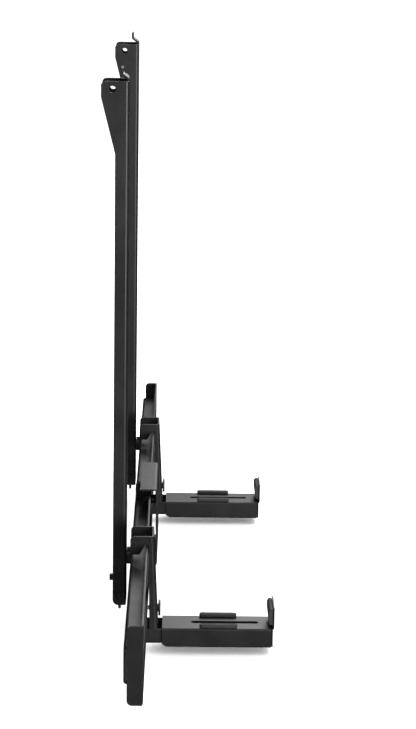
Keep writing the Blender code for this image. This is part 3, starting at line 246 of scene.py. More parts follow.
def placed(u, v, w, axis):
    # an outline's u and v and its place w along the axis, as points from the two datums
    order = {"x": (w, u, v), "y": (u, w, v), "z": (u, v, w)}[axis]
    return np.stack(np.broadcast_arrays(*order), -1) + np.array([faceX, 0.0, footZ])


def surface(name, grid, capped=True, looped=False):
    # grid[i, j] is point j of ring i: each ring closes on itself and joins the next one by quads;
    # the first and last rings get a face each, or, when looped, join each other
    rows, columns = grid.shape[:2]
    index = np.arange(rows * columns).reshape(rows, columns)
    rings = np.vstack([index, index[:1]]) if looped else index
    a, b = rings[:-1], rings[1:]
    faces = np.stack([a, np.roll(a, -1, 1), np.roll(b, -1, 1), b], -1).reshape(-1, 4).tolist()
    if capped and not looped:
        faces += [index[0][::-1].tolist(), index[-1].tolist()]
    mesh = bpy.data.meshes.new(name)
    mesh.from_pydata(grid.reshape(-1, 3).tolist(), [], faces)
    tidy = bmesh.new()
    tidy.from_mesh(mesh)
    bmesh.ops.remove_doubles(tidy, verts=tidy.verts, dist=1e-7)
    bmesh.ops.recalc_face_normals(tidy, faces=tidy.faces)
    tidy.to_mesh(mesh)
    tidy.free()
    piece = bpy.data.objects.new(name, mesh)
    bpy.context.scene.collection.objects.link(piece)
    return piece


def prism(name, outline, axis, low, high, edge=0.0, steps=4):
    # an outline carried along a straight line; at both ends it is drawn in along its normals by
    # edge * (1 - cos) while it travels edge * (1 - sin), a quarter circle that rounds the edge
    if edge == 0:
        inset, travel = np.zeros(1), np.zeros(1)
    else:
        quarter = np.linspace(0, math.pi / 2, steps + 1)
        inset, travel = edge * (1 - np.sin(quarter)), edge * (1 - np.cos(quarter))
    inset = np.concatenate([inset, inset[::-1]])
    travel = np.concatenate([low + travel, high - travel[::-1]])
    run = unit(np.roll(outline, -1, 0) - outline)
    inward = np.stack([-run[:, 1], run[:, 0]], 1)
    if crossed(outline, np.roll(outline, -1, 0)).sum() < 0:
        inward = -inward
    before = np.roll(inward, 1, 0)
    mitre = (before + inward) / (1 + (before * inward).sum(1, keepdims=True))
    moved = outline[None] + mitre[None] * inset[:, None, None]
    return surface(name, placed(moved[..., 0], moved[..., 1], travel[:, None], axis))


def lathe(points, steps=4):
    # rows of a turned piece from (radius, place, bend, flats, thread) points: bends become arcs, and
    # a row with flats is limited to a hexagon of that width
    table = np.asarray(points, float)
    path = rounded(table[:, :3], steps, closed=False)
    nearest = np.linalg.norm(path[:, None] - table[None, :, :2], axis=-1).argmin(1)
    return np.column_stack([path, table[nearest, 3:]])


def turned(name, rows, centre, axis, sides=48, pitch=0.001, looped=False):
    # radius as a function of turn and place: the row's own radius, no more than half the flats over
    # the cosine of the turn within each sixth, less a thread that falls and rises once per pitch
    turn = np.arange(sides) * 2 * np.pi / sides
    radius, place, flats, thread = (rows[:, i:i + 1] for i in range(4))
    sixth = np.mod(turn, math.pi / 3) - math.pi / 6
    hexagon = flats / 2 / np.cos(sixth)
    limited = np.where(flats > 0, np.minimum(radius, hexagon), radius)
    wave = np.abs(2 * np.mod(place / pitch - turn / (2 * np.pi), 1) - 1)
    limited = limited - thread * wave
    u = centre[0] + limited * np.cos(turn)
    v = centre[1] + limited * np.sin(turn)
    return surface(name, placed(u, v, place, axis), capped=False, looped=looped)


def threadRows(radius, low, high, pitch, depth):
    # rows an eighth of a pitch apart, with the thread fading in at the free end
    count = max(2, int(round(abs(high - low) / pitch * 8)) + 1)
    place = np.linspace(low, high, count)
    fade = np.clip(np.abs(place - low) / pitch, 0, 1)
    return np.column_stack([np.full(count, radius), place, np.zeros(count), depth * fade])


def tube(name, path, radius, sides=12):
    # a circle carried along a path, square to it; the path never runs along Y
    points = np.asarray(path, float)
    along = unit(np.gradient(points, axis=0))
    side = unit(np.cross(along, [0.0, 1.0, 0.0]))
    over = np.cross(side, along)
    turn = np.arange(sides) * 2 * np.pi / sides
    circles = side[:, None] * np.cos(turn)[:, None] + over[:, None] * np.sin(turn)[:, None]
    grid = points[:, None] + radius * circles
    return surface(name, grid + np.array([faceX, 0.0, footZ]))


def settle(piece):
    # keeps what the modifiers show and drops them
    bpy.context.view_layer.update()
    shown = bpy.data.meshes.new_from_object(piece.evaluated_get(bpy.context.evaluated_depsgraph_get()))
    piece.modifiers.clear()
    piece.data = shown
    shown.name = piece.name


def combine(piece, operation, *tools):
    for tool in tools:
        step = piece.modifiers.new("step", "BOOLEAN")
        step.object = tool
        step.operation = operation
        step.solver = "EXACT"
        settle(piece)
        bpy.data.objects.remove(tool)
    return piece


def soften(piece, width, segments=3, angle=32):
    # rounds every sharp edge; what the rounding adds carries 1 in the attribute "edge"
    for _ in range(2):
        piece.data.materials.append(None)
    if width > 0:
        bevel = piece.modifiers.new("bevel", "BEVEL")
        bevel.width = width
        bevel.segments = segments
        bevel.limit_method = "ANGLE"
        bevel.angle_limit = math.radians(angle)
        bevel.use_clamp_overlap = False
        bevel.miter_outer = "MITER_SHARP"
        bevel.material = 1
        settle(piece)
    mesh = piece.data
    slots = np.empty(len(mesh.polygons), np.int32)
    mesh.polygons.foreach_get("material_index", slots)
    edge = mesh.attributes.new("edge", "FLOAT", "FACE")
    edge.data.foreach_set("value", slots.astype(np.float32))
    mesh.polygons.foreach_set("material_index", np.zeros(len(slots), np.int32))
    mesh.materials.clear()
    mesh.shade_smooth()
    if width == 0:
        mesh.set_sharp_from_angle(angle=math.radians(angle))
        return piece
    weights = piece.modifiers.new("weights", "WEIGHTED_NORMAL")
    weights.keep_sharp = False
    settle(piece)
    return piece


def place(shape, node, distance=0.0):
    # a shape drawn round Y = 0 takes its node's place, rides on its node's body and wears its finish
    piece = bpy.data.objects.new(node + "_look", shape.data.copy())
    bpy.context.scene.collection.objects.link(piece)
    piece.data.name = piece.name
    piece.data.transform(Matrix.Translation((0, distance, 0)))
    piece.data.materials.clear()
    piece.data.materials.append(finishes[slots[node]])
    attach(piece, frame["nodes"][node]["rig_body"])
    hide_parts(node)


def placePair(shape, name, group):
    for side in ("near", "far"):
        place(shape, side + "_" + name, pairMiddles[group][side])
    bpy.data.objects.remove(shape)


def placeOne(shape, node, distance):
    place(shape, node, distance)
    bpy.data.objects.remove(shape)


# finishes

finishValues = {
    "black_powder_coat": {"colour": (0.0062, 0.0062, 0.0064), "cloudColour": (0.0078, 0.0078, 0.0080),
                          "edgeCoatAndHighlightColour": (0.020, 0.020, 0.021), "roughness": 0.42, "roughnessSpread": 0.05,
                          "specular": 0.5, "metallic": 0.0, "grain": 0.00045, "bump": 0.000018,
                          "cloud": 0.030,
                          "stretch": (1.0, 1.0, 1.0)},
    "black_zinc": {"colour": (0.050, 0.050, 0.053), "cloudColour": (0.085, 0.083, 0.085),
                   "edgeCoatAndHighlightColour": (0.16, 0.16, 0.16), "roughness": 0.36, "roughnessSpread": 0.10,
                   "specular": 0.5, "metallic": 0.85, "grain": 0.00030, "bump": 0.000008, "cloud": 0.004,
                   "stretch": (1.0, 1.0, 1.0)},
    "black_plastic": {"colour": (0.0060, 0.0060, 0.0064), "cloudColour": (0.0074, 0.0074, 0.0080),
                      "edgeCoatAndHighlightColour": (0.016, 0.016, 0.017), "roughness": 0.62, "roughnessSpread": 0.05,
                      "specular": 0.2, "metallic": 0.0, "grain": 0.00070, "bump": 0.000030, "cloud": 0.015,
                      "stretch": (1.0, 1.0, 1.0)},
    "black_rubber": {"colour": (0.0150, 0.0150, 0.0155), "cloudColour": (0.0210, 0.0210, 0.0215),
                     "edgeCoatAndHighlightColour": (0.024, 0.024, 0.024), "roughness": 0.72, "roughnessSpread": 0.08,
                     "specular": 0.3, "metallic": 0.0, "grain": 0.00055, "bump": 0.000040, "cloud": 0.010,
                     "stretch": (1.0, 1.0, 1.0)},
    "spring_steel": {"colour": (0.30, 0.30, 0.31), "cloudColour": (0.38, 0.38, 0.39),
                     "edgeCoatAndHighlightColour": (0.40, 0.40, 0.40), "roughness": 0.28, "roughnessSpread": 0.08,
                     "specular": 0.5, "metallic": 1.0, "grain": 0.00020, "bump": 0.000004, "cloud": 0.003,
                     "stretch": (1.0, 6.0, 1.0)},
}


def makeFinish(name, values):
    material = bpy.data.materials.new(name)
    material.use_nodes = True
    tree = material.node_tree
    link = tree.links.new
    shader = tree.nodes["Principled BSDF"]
    shader.inputs["Metallic"].default_value = values["metallic"]
    shader.inputs["Specular IOR Level"].default_value = values["specular"]
    coordinates = tree.nodes.new("ShaderNodeTexCoord")
    mapping = tree.nodes.new("ShaderNodeMapping")
    mapping.inputs["Scale"].default_value = values["stretch"]
    link(coordinates.outputs["Object"], mapping.inputs["Vector"])

    def noise(size, detail):
        node = tree.nodes.new("ShaderNodeTexNoise")
        node.inputs["Scale"].default_value = 1 / size
        node.inputs["Detail"].default_value = detail
        link(mapping.outputs["Vector"], node.inputs["Vector"])
        return node.outputs["Fac"]

    def spread(fac, low, high, outLow, outHigh):
        node = tree.nodes.new("ShaderNodeMapRange")
        node.inputs["From Min"].default_value = low
        node.inputs["From Max"].default_value = high
        node.inputs["To Min"].default_value = outLow
        node.inputs["To Max"].default_value = outHigh
        link(fac, node.inputs["Value"])
        return node.outputs["Result"]

    def blend(fac, first, second):
        node = tree.nodes.new("ShaderNodeMix")
        node.data_type = "RGBA"
        link(fac, node.inputs["Factor"])
        for socket, colour in ((node.inputs["A"], first), (node.inputs["B"], second)):
            if isinstance(colour, tuple):
                socket.default_value = (*colour, 1.0)
            else:
                link(colour, socket)
        return node.outputs["Result"]

    cloud = noise(values["cloud"], 3.0)
    grain = noise(values["grain"], 2.0)
    # rounded edges are painted lighter: partly a thinner coat, partly a painted highlight
    edgeCoatAndHighlightMask = tree.nodes.new("ShaderNodeAttribute")
    edgeCoatAndHighlightMask.attribute_name = "edge"
    edgeCoatAndHighlightSpots = tree.nodes.new("ShaderNodeMath")
    edgeCoatAndHighlightSpots.operation = "MULTIPLY"
    link(edgeCoatAndHighlightMask.outputs["Fac"], edgeCoatAndHighlightSpots.inputs[0])
    link(spread(noise(values["cloud"] / 6, 2.0), 0.45, 0.70, 0.15, 1.0), edgeCoatAndHighlightSpots.inputs[1])
    clouded = blend(spread(cloud, 0.35, 0.65, 0.0, 1.0), values["colour"], values["cloudColour"])
    link(blend(edgeCoatAndHighlightSpots.outputs["Value"], clouded, values["edgeCoatAndHighlightColour"]), shader.inputs["Base Color"])
    middle, half = values["roughness"], values["roughnessSpread"]
    link(spread(cloud, 0.30, 0.70, middle - half, middle + half), shader.inputs["Roughness"])
    bump = tree.nodes.new("ShaderNodeBump")
    bump.inputs["Strength"].default_value = 1.0
    bump.inputs["Distance"].default_value = values["bump"]
    link(grain, bump.inputs["Height"])
    link(bump.outputs["Normal"], shader.inputs["Normal"])
    return material


finishes = {name: makeFinish(name, values) for name, values in finishValues.items()}


# television rail

railValues = {
    "height": 0.556, "width": 0.033, "depth": 0.014, "sheet": 0.0022, "bend": 0.0010, "foot": 0.006,
    "earReach": 0.0145, "earCorner": 0.0045, "earDrop": 0.016, "earRound": 0.008,
    "taper": 0.058, "taperRound": 0.020,
    "hookInset": 0.0115, "hookDrop": 0.008, "hookRadius": 0.0034,
    "tongueWidth": 0.020, "tongueRise": 0.0130, "tongueStep": 0.0064, "tongueBend": 0.0005,
    "stepLow": 0.0026, "stepHigh": 0.00715, "tongueRoot": 0.004,
    "slotFirst": 0.140, "slotPitch": 0.052, "slotCount": 8, "slotLength": 0.040, "slotWidth": 0.0066,
    "boltAside": 0.008, "boltHeight": 0.0497, "boltHole": 0.0033,
    "pinPlace": (-0.008, 0.012), "pinHole": 0.0023, "edge": 0.0003,
}


def makeRail(v):
    half, deep = v["width"] / 2, v["depth"] + v["earReach"]
    section = folded([(-deep - overrun, -half), (0, -half), (0, half), (-deep - overrun, half)],
                     v["sheet"], v["bend"])
    rail = prism("rail", section, "z", -overrun, v["height"] + overrun)
    tip = v["height"] - v["earDrop"]
    side = rounded([(overrun, 0, 0), (-v["depth"], 0, v["foot"]),
                    (-v["depth"], tip - v["taper"], v["taperRound"]),
                    (-deep, tip, v["earRound"]), (-deep, v["height"], v["earCorner"]),
                    (overrun, v["height"], 0)], 10)
    combine(rail, "INTERSECT", prism("side", side, "y", -beyond, beyond))
    tongue = folded([(0, v["height"] - v["tongueRoot"]), (0, v["height"] + v["stepLow"]),
                     (-v["tongueStep"], v["height"] + v["stepHigh"]),
                     (-v["tongueStep"], v["height"] + v["tongueRise"])], v["sheet"], v["tongueBend"])
    reach = v["tongueWidth"] / 2
    combine(rail, "UNION", prism("tongue", tongue, "y", -reach, reach))
    cutters = []
    for number in range(v["slotCount"]):
        slot = stadium((v["slotFirst"] + v["slotPitch"] * number, 0), v["slotLength"], v["slotWidth"])
        cutters.append(prism("slot", slot[:, ::-1], "x", -0.005, 0.003))
    for aside in (-v["boltAside"], v["boltAside"]):
        cutters.append(prism("hole", circle((aside, v["boltHeight"]), v["boltHole"]), "x", -0.005, 0.003))
    hook = (v["hookInset"] - deep, v["height"] - v["hookDrop"])
    cutters.append(prism("hook", circle(hook, v["hookRadius"]), "y", -beyond, beyond))
    cutters.append(prism("pin", circle(v["pinPlace"], v["pinHole"]), "y", -beyond, beyond))
    combine(rail, "DIFFERENCE", *cutters)
    return soften(rail, v["edge"])


placePair(makeRail(railValues), "rail", "rail")
print("rails done")


# screws and nuts

def screwRows(v, tip, seat, top):
    # one profile from the free end to the bottom of the hexagon socket: chamfer, thread, shank, head
    way = 1 if top > seat else -1
    radius, head, tall = v["radius"], v["head"], top - seat
    start = tip + way * radius * 0.3
    end = seat - way * v.get("plain", 0.0)
    rows = [[(0, tip, 0, 0), (radius * 0.8, tip, 0, 0)],
            threadRows(radius, start, end, v["pitch"], v["depth"])]
    if v.get("collar"):
        rows.append([(radius, v["collarPlace"], 0, 0), (v["collar"], v["collarPlace"], 0, 0),
                     (v["collar"], seat, 0, 0)])
    if v["style"] == "countersunk":
        rows.append([(radius, seat, 0, 0), (head * 0.985, top - tall * 0.04, 0, 0), (head * 0.97, top, 0, 0)])
    elif v["style"] == "disc":
        rows.append(lathe([(radius, seat, 0, 0, 0), (head, seat, v["round"], 0, 0),
                           (head, top, v["round"], 0, 0),
                           (head * 0.9, top, 0, 0, 0)]))
    else:
        # button: a straight rim, then an ellipse drawn to where the flat top begins
        turn = np.linspace(0, 0.32 * math.pi, 9)
        rise = 0.30 + 0.70 * np.sin(turn) / np.sin(turn[-1])
        zero = np.zeros(len(turn))
        rows.append([(radius, seat, 0, 0), (head * 0.985, seat, 0, 0), (head, seat + tall * 0.05, 0, 0)])
        rows.append(np.column_stack([head * np.cos(turn), seat + tall * rise, zero, zero]))
    flats, deep = v["socket"], tall * v["socketDepth"]
    wide = flats
    rows.append([(flats * 0.62, top, 0, 0), (wide, top - deep * 0.08, flats, 0), (wide, top - deep, flats, 0),
                 (0, top - deep * 1.12, 0, 0)])
    return np.vstack([np.asarray(part, float) for part in rows])


def makeNut(v, centre, axis, low, high):
    # the outer rows grow from the chamfer's circle to the full hexagon and back; the inner rows carry
    # the thread, and the last row meets the first
    flats, hole = v["flats"], v["hole"]
    corner = flats / math.sqrt(3)
    grow = np.linspace(0.94 * flats / 2, corner, 6)
    rise = (grow - grow[0]) * 0.55
    places = np.concatenate([low + rise, high - rise[::-1]])
    outer = np.column_stack([np.concatenate([grow, grow[::-1]]), places, np.full(12, flats), np.zeros(12)])
    inner = threadRows(hole, high - 0.0004, low + 0.0004, v["pitch"], v["depth"])
    rows = np.vstack([[(hole + 0.0004, low, 0, 0)], outer, [(hole + 0.0004, high, 0, 0)], inner])
    return soften(turned("nut", rows, centre, axis, pitch=v["pitch"], looped=True), 0)


def makeSpacer(inner, outer, edge, centre, axis, low, high):
    rows = lathe([(inner, low, 0, 0, 0), (outer, low, edge, 0, 0), (outer, high, edge, 0, 0),
                  (inner, high, 0, 0, 0)])
    return soften(turned("spacer", rows, centre, axis, looped=True), 0)


railScrewValues = {
    "bolt": {"radius": 0.0030, "head": 0.0052, "pitch": 10.472, "depth": 0.00055, "style": "button",
             "socket": 0.0040, "socketDepth": 0.55, "plain": 0.0022},
    "nut": {"flats": 0.0100, "hole": 0.0033, "pitch": 10.472, "depth": 0.00028},
    "spacer": (0.0033, 0.0062, 0.0006),
    "aside": 0.008, "height": 0.0497,
    "tip": -0.0095, "seat": 0.0079, "top": 0.0115, "nutPlace": (-0.0075, -0.0025),
    "spacerPlace": (0.0003, 0.0053),
}


def makeRailScrews(v):
    for number, aside in ((1, -v["aside"]), (2, v["aside"])):
        centre = (aside, v["height"])
        rows = screwRows(v["bolt"], v["tip"], v["seat"], v["top"])
        bolt = soften(turned("bolt", rows, centre, "x", pitch=v["bolt"]["pitch"]), 0)
        placePair(bolt, "rail_bolt_" + str(number), "rail")
        placePair(makeNut(v["nut"], centre, "x", *v["nutPlace"]), "rail_nut_" + str(number), "rail")
        spacer = makeSpacer(*v["spacer"], centre, "x", *v["spacerPlace"])
        placePair(spacer, "rail_spacer_" + str(number), "rail")


makeRailScrews(railScrewValues)
print("rail bolts done")


# rail latch

latchValues = {
    "pin": (-0.008, 0.012), "pinHole": 0.0023, "pinRadius": 0.0020, "pinHalf": 0.0165, "pinEdge": 0.0004,
    "thickness": 0.0040, "edge": 0.0003,
    "outline": [(-0.0100, 0.0102, 0.0010), (-0.0055, 0.0102, 0.0010), (-0.0040, 0.0052, 0.0030),
                (-0.0040, -0.0050, 0.0030), (-0.0005, -0.0085, 0.0010), (-0.0005, -0.0215, 0.0010),
                (0.0025, -0.0215, 0.0010), (0.0025, -0.0075, 0.0010), (0.0035, -0.0040, 0.0010),
                (0.0035, 0.0030, 0.0030), (-0.0015, 0.0166, 0.0010), (-0.0100, 0.0166, 0.0010)],
    "wire": 0.0005, "coil": 0.0031, "coilPitch": 0.0014, "turns": 3, "coilStart": 0.0040, "leg": 0.0075,
}


def makeLatch(v):
    outline = rounded(v["outline"], 8) + np.array(v["pin"])
    half = v["thickness"] / 2
    latch = prism("latch", outline, "y", -half, half)
    combine(latch, "DIFFERENCE", prism("pinHole", circle(v["pin"], v["pinHole"]), "y", -0.01, 0.01))
    return soften(latch, v["edge"])


def makeLatchPin(v):
    rows = lathe([(0, -v["pinHalf"], 0, 0, 0), (v["pinRadius"], -v["pinHalf"], v["pinEdge"], 0, 0),
                  (v["pinRadius"], v["pinHalf"], v["pinEdge"], 0, 0), (0, v["pinHalf"], 0, 0, 0)])
    return soften(turned("pin", rows, v["pin"], "y"), 0)


def makeLatchSpring(v):
    # helix: a circle in X and Z while Y grows by the pitch per turn, with a straight leg at each end
    turn = np.linspace(0, 2 * np.pi * v["turns"], 48 * v["turns"] + 1)
    x, z = v["pin"]
    helix = np.stack([x + v["coil"] * np.cos(turn), v["coilStart"] + v["coilPitch"] * turn / (2 * np.pi),
                      z + v["coil"] * np.sin(turn)], 1)
    down = np.linspace(v["leg"], v["leg"] / 12, 12)[:, None] * np.array([0.0, 0.0, 1.0])
    path = np.vstack([helix[0] - down, helix, helix[-1] + down[::-1]])
    return soften(tube("spring", path, v["wire"]), 0)


placePair(makeLatch(latchValues), "latch", "rail")
placePair(makeLatchPin(latchValues), "latch_pin", "rail")
placePair(makeLatchSpring(latchValues), "latch_spring", "rail")
print("latches done")


# crossbar

barValues = {
    "back": 0.0056, "front": 0.024, "foot": 0.0112, "top": 0.0882, "brim": 0.0198, "sheet": 0.0020,
    "bend": 0.0012,
    "start": 0.00325, "end": 0.4157, "slotStart": 0.052, "slotEnd": 0.345, "slotWidth": 0.0066,
    "screwAside": 0.030, "screwHeight": 0.0783, "screwHole": 0.0028, "edge": 0.0003,
}


def makeHalfBar(v, side):
    rear, middle = v["front"] - v["sheet"], (v["foot"] + v["top"]) / 2
    face = [(rear, v["top"]), (rear, v["top"] - v["brim"]), (v["back"], v["top"] - v["brim"]),
            (v["back"], v["foot"] + v["brim"]), (rear, v["foot"] + v["brim"]), (rear, v["foot"])]
    ends = sorted((side * v["start"], side * v["end"]))
    bar = prism("bar", folded(face, v["sheet"], v["bend"]), "y", *ends)
    slotLength = v["slotEnd"] - v["slotStart"]
    slot = stadium((side * (v["slotStart"] + v["slotEnd"]) / 2, middle), slotLength, v["slotWidth"])
    hole = circle((side * v["screwAside"], v["screwHeight"]), v["screwHole"])
    combine(bar, "DIFFERENCE", prism("slot", slot, "x", 0.003, 0.010), prism("hole", hole, "x", 0.018, 0.028))
    return soften(bar, v["edge"])


capValues = {
    "back": 0.0088, "front": 0.024, "foot": 0.0112, "top": 0.0882, "corner": 0.0050, "step": 0.0005,
    "stepHeight": 0.0170, "inner": 0.416, "outer": 0.419, "edge": 0.0005,
    "plugLow": (0.0091, 0.0333), "plugHigh": (0.0220, 0.0661), "plugCorner": 0.0010, "plugEnd": 0.409,
}


def makeEndCap(v, side):
    outline = rounded([(v["back"], v["foot"], v["corner"]), (v["back"], v["top"], v["corner"]),
                       (v["front"], v["top"], 0.0008),
                       (v["front"], v["foot"] + v["stepHeight"] + v["step"], 0),
                       (v["front"] + v["step"], v["foot"] + v["stepHeight"], 0.0002),
                       (v["front"] - v["step"], v["foot"], 0.0008)], 8)
    ends = sorted((side * v["inner"], side * v["outer"]))
    cap = prism("cap", outline, "y", *ends)
    plugEnds = sorted((side * v["plugEnd"], side * (v["inner"] + v["outer"]) / 2))
    combine(cap, "UNION", prism("plug", block(v["plugLow"], v["plugHigh"], v["plugCorner"]), "y", *plugEnds))
    return soften(cap, v["edge"])


jointValues = {
    "back": 0.0062, "front": 0.024, "foot": 0.0112, "top": 0.0882, "corner": 0.0050, "start": 0.00015,
    "end": 0.00295, "edge": 0.0003, "boltX": 0.0154, "boltHeights": (0.0407, 0.0587), "hole": 0.0033,
    "bolt": {"radius": 0.0030, "head": 0.0052, "pitch": 10.472, "depth": 0.00055, "style": "button",
             "socket": 0.0040, "socketDepth": 0.55, "plain": 0.0030},
    "nut": {"flats": 0.0100, "hole": 0.0033, "pitch": 10.472, "depth": 0.00028},
    "seat": -0.00325, "headTop": -0.00685, "tip": 0.01025, "nutPlace": (0.00325, 0.00825),
}


def makeJointPlate(v, side):
    outline = rounded([(v["back"], v["foot"], v["corner"]), (v["back"], v["top"], v["corner"]),
                       (v["front"], v["top"], 0.0006), (v["front"], v["foot"], 0.0006)], 8)
    ends = sorted((side * v["start"], side * v["end"]))
    plate = prism("plate", outline, "y", *ends)
    holes = [prism("hole", circle((v["boltX"], height), v["hole"]), "y", -0.01, 0.01)
             for height in v["boltHeights"]]
    combine(plate, "DIFFERENCE", *holes)
    return soften(plate, v["edge"])


for side, way in (("near", -1), ("far", 1)):
    placeOne(makeHalfBar(barValues, way), side + "_half_bar", barMiddle)
    placeOne(makeEndCap(capValues, way), side + "_end_cap", barMiddle)
    placeOne(makeJointPlate(jointValues, way), side + "_joint_plate", barMiddle)


def makeJointBolts(v):
    for number, height in enumerate(v["boltHeights"], 1):
        centre = (v["boltX"], height)
        rows = screwRows(v["bolt"], v["tip"], v["seat"], v["headTop"])
        bolt = soften(turned("bolt", rows, centre, "y", pitch=v["bolt"]["pitch"]), 0)
        placeOne(bolt, "joint_bolt_" + str(number), barMiddle)
        placeOne(makeNut(v["nut"], centre, "y", *v["nutPlace"]), "joint_nut_" + str(number), barMiddle)


makeJointBolts(jointValues)
print("crossbar done")


# joint saddle

saddleValues = {
    "half": 0.0485, "back": 0.012, "front": 0.0316, "foot": 0.0070, "top": 0.0955, "sheet": 0.0020,
    "bend": 0.0015,
    "edge": 0.0003, "screwAside": 0.030, "screwHeight": 0.0783, "shank": 0.0028, "sink": 0.0048,
    "screw": {"radius": 0.0025, "head": 0.0045, "pitch": 10.472, "depth": 0.00045, "style": "countersunk",
              "socket": 0.0030, "socketDepth": 1.1},
    "nut": {"flats": 0.0080, "hole": 0.0028, "pitch": 10.472, "depth": 0.00025},
    "spacer": (0.0028, 0.0048, 0.0003),
    "tip": 0.0157, "seat": 0.0296, "screwTop": 0.03145, "nutPlace": (0.0177, 0.0217),
    "spacerPlace": (0.0243, 0.0293),
}


def makeSaddle(v):
    face = [(v["back"], v["foot"]), (v["front"], v["foot"]), (v["front"], v["top"]), (v["back"], v["top"])]
    saddle = prism("saddle", folded(face, v["sheet"], v["bend"]), "y", -v["half"], v["half"])
    seat = v["front"] - v["sheet"]
    rows = np.array([(0, seat - overrun, 0, 0), (v["shank"], seat - overrun, 0, 0), (v["shank"], seat, 0, 0),
                     (v["sink"], v["front"], 0, 0), (v["sink"], v["front"] + overrun, 0, 0),
                     (0, v["front"] + overrun, 0, 0)])
    sinks = [turned("sink", rows, (aside, v["screwHeight"]), "x")
             for aside in (-v["screwAside"], v["screwAside"])]
    combine(saddle, "DIFFERENCE", *sinks)
    return soften(saddle, v["edge"])


def makeSaddleScrews(v):
    for number, aside in ((1, -v["screwAside"]), (2, v["screwAside"])):
        centre = (aside, v["screwHeight"])
        rows = screwRows(v["screw"], v["tip"], v["seat"], v["screwTop"])
        screw = soften(turned("screw", rows, centre, "x", pitch=v["screw"]["pitch"]), 0)
        placeOne(screw, "saddle_screw_" + str(number), barMiddle)
        placeOne(makeNut(v["nut"], centre, "x", *v["nutPlace"]), "saddle_nut_" + str(number), barMiddle)
        spacer = makeSpacer(*v["spacer"], centre, "x", *v["spacerPlace"])
        placeOne(spacer, "saddle_spacer_" + str(number), barMiddle)


placeOne(makeSaddle(saddleValues), "joint_saddle", barMiddle)
makeSaddleScrews(saddleValues)
print("saddle done")


# hanger

hangerValues = {
    "width": 0.0325, "sheet": 0.0020, "bend": 0.0012, "top": 0.0977, "hookBack": 0.0058, "hookNose": 0.0784,
    "hookCorner": 0.0045, "noseEdge": 0.0010, "stripTop": 0.0300, "stripFoot": 0.0346, "stripBack": 0.0260,
    "notchTop": 0.0885, "notchBack": 0.0210, "notchFront": 0.0245, "lead": 0.0058, "notchCorner": 0.0004,
    "leadEdge": 0.0008, "armBack": 0.0216, "armFront": 0.1460, "armTop": -0.0020, "armFoot": -0.0178,
    "armCorner": 0.0020, "armEdge": 0.0008, "clampHeight": 0.0153, "clampHole": 0.0028,
    "lockSlotMiddle": (0.0915, -0.0099), "lockSlotLength": 0.0932, "lockSlotWidth": 0.0056, "edge": 0.00025,
}


def makeHanger(v):
    half, lean = v["width"] / 2, (v["stripFoot"] - v["stripTop"]) / (v["top"] - v["armTop"])
    deep = v["stripFoot"]
    section = folded([(-deep, -half), (0, -half), (0, half), (-deep, half)], v["sheet"], v["bend"])
    # the section is carried along a line that leans forward as it goes down
    heights = np.array([v["armFoot"] - overrun, v["top"] + overrun])[:, None]
    front = v["stripTop"] + lean * (v["top"] - heights)
    hanger = surface("hanger", placed(section[:, 0] + front, section[:, 1], heights, "z"))
    middle = (v["armTop"] + v["armFoot"]) / 2
    side = rounded([(v["hookBack"], v["hookNose"], v["noseEdge"]), (v["hookBack"], v["top"], v["hookCorner"]),
                    (v["stripFoot"] + overrun, v["top"], 0), (v["stripFoot"] + overrun, middle, 0),
                    (v["stripBack"], middle, 0), (v["stripBack"], v["armTop"], 0),
                    (v["notchFront"], v["notchTop"], v["notchCorner"]),
                    (v["notchBack"], v["notchTop"], v["notchCorner"]),
                    (v["notchBack"] - v["lead"], v["hookNose"], v["leadEdge"])], 8)
    combine(hanger, "INTERSECT", prism("side", side, "y", -beyond, beyond))
    inner = half - v["sheet"]
    opening = np.array([(v["stripTop"] - 0.006, v["armTop"]), (v["stripFoot"] + overrun, v["armTop"]),
                        (v["stripFoot"] + overrun, v["armFoot"]), (v["stripTop"] - 0.006, v["armFoot"])])
    combine(hanger, "DIFFERENCE", prism("opening", opening, "y", -inner, inner))
    face = [(-half, v["armTop"] + overrun), (-half, v["armFoot"]),
            (half, v["armFoot"]), (half, v["armTop"] + overrun)]
    section = folded(face, v["sheet"], v["bend"])
    arm = prism("arm", section, "x", v["armBack"] - overrun, v["armFront"] + overrun)
    armSide = rounded([(v["armBack"], v["armTop"], v["armEdge"]), (v["armBack"], v["armFoot"] - overrun, 0),
                       (v["armFront"], v["armFoot"] - overrun, 0),
                       (v["armFront"], v["armTop"], v["armCorner"])], 8)
    combine(arm, "INTERSECT", prism("armSide", armSide, "y", -beyond, beyond))
    combine(hanger, "UNION", arm)
    slot = stadium(v["lockSlotMiddle"], v["lockSlotLength"], v["lockSlotWidth"])
    combine(hanger, "DIFFERENCE",
            prism("clampHole", circle((0, v["clampHeight"]), v["clampHole"]), "x", 0.028, 0.038),
            prism("lockSlot", slot, "y", inner - overrun, half + overrun))
    return soften(hanger, v["edge"])


clampValues = {
    "screw": {"radius": 0.0025, "head": 0.0083, "pitch": 10.472, "depth": 0.00045, "style": "disc",
              "round": 0.0006, "socket": 0.0040, "socketDepth": 0.7, "collar": 0.0042, "collarPlace": 0.0341,
              "plain": 0.0009},
    "nut": {"flats": 0.0080, "hole": 0.0028, "pitch": 10.472, "depth": 0.00025},
    "height": 0.0153, "tip": 0.0243, "seat": 0.0349, "top": 0.0373, "nutPlace": (0.02728, 0.03128),
}


def makeClamp(v):
    centre = (0, v["height"])
    rows = screwRows(v["screw"], v["tip"], v["seat"], v["top"])
    screw = soften(turned("screw", rows, centre, "x", sides=72, pitch=v["screw"]["pitch"]), 0)
    placePair(screw, "clamp_screw", "hanger")
    placePair(makeNut(v["nut"], centre, "x", *v["nutPlace"]), "clamp_nut", "hanger")


glideValues = {
    "blockLow": (-0.01395, -0.0155), "blockHigh": (0.01395, -0.0023), "blockCorner": 0.0012,
    "blockPlace": (0.1405, 0.1470), "flangeLow": (-0.01645, -0.0188), "flangeHigh": (0.01645, -0.0018),
    "flangeCorner": 0.0010, "flangePlace": (0.1463, 0.1483), "edge": 0.00025,
}


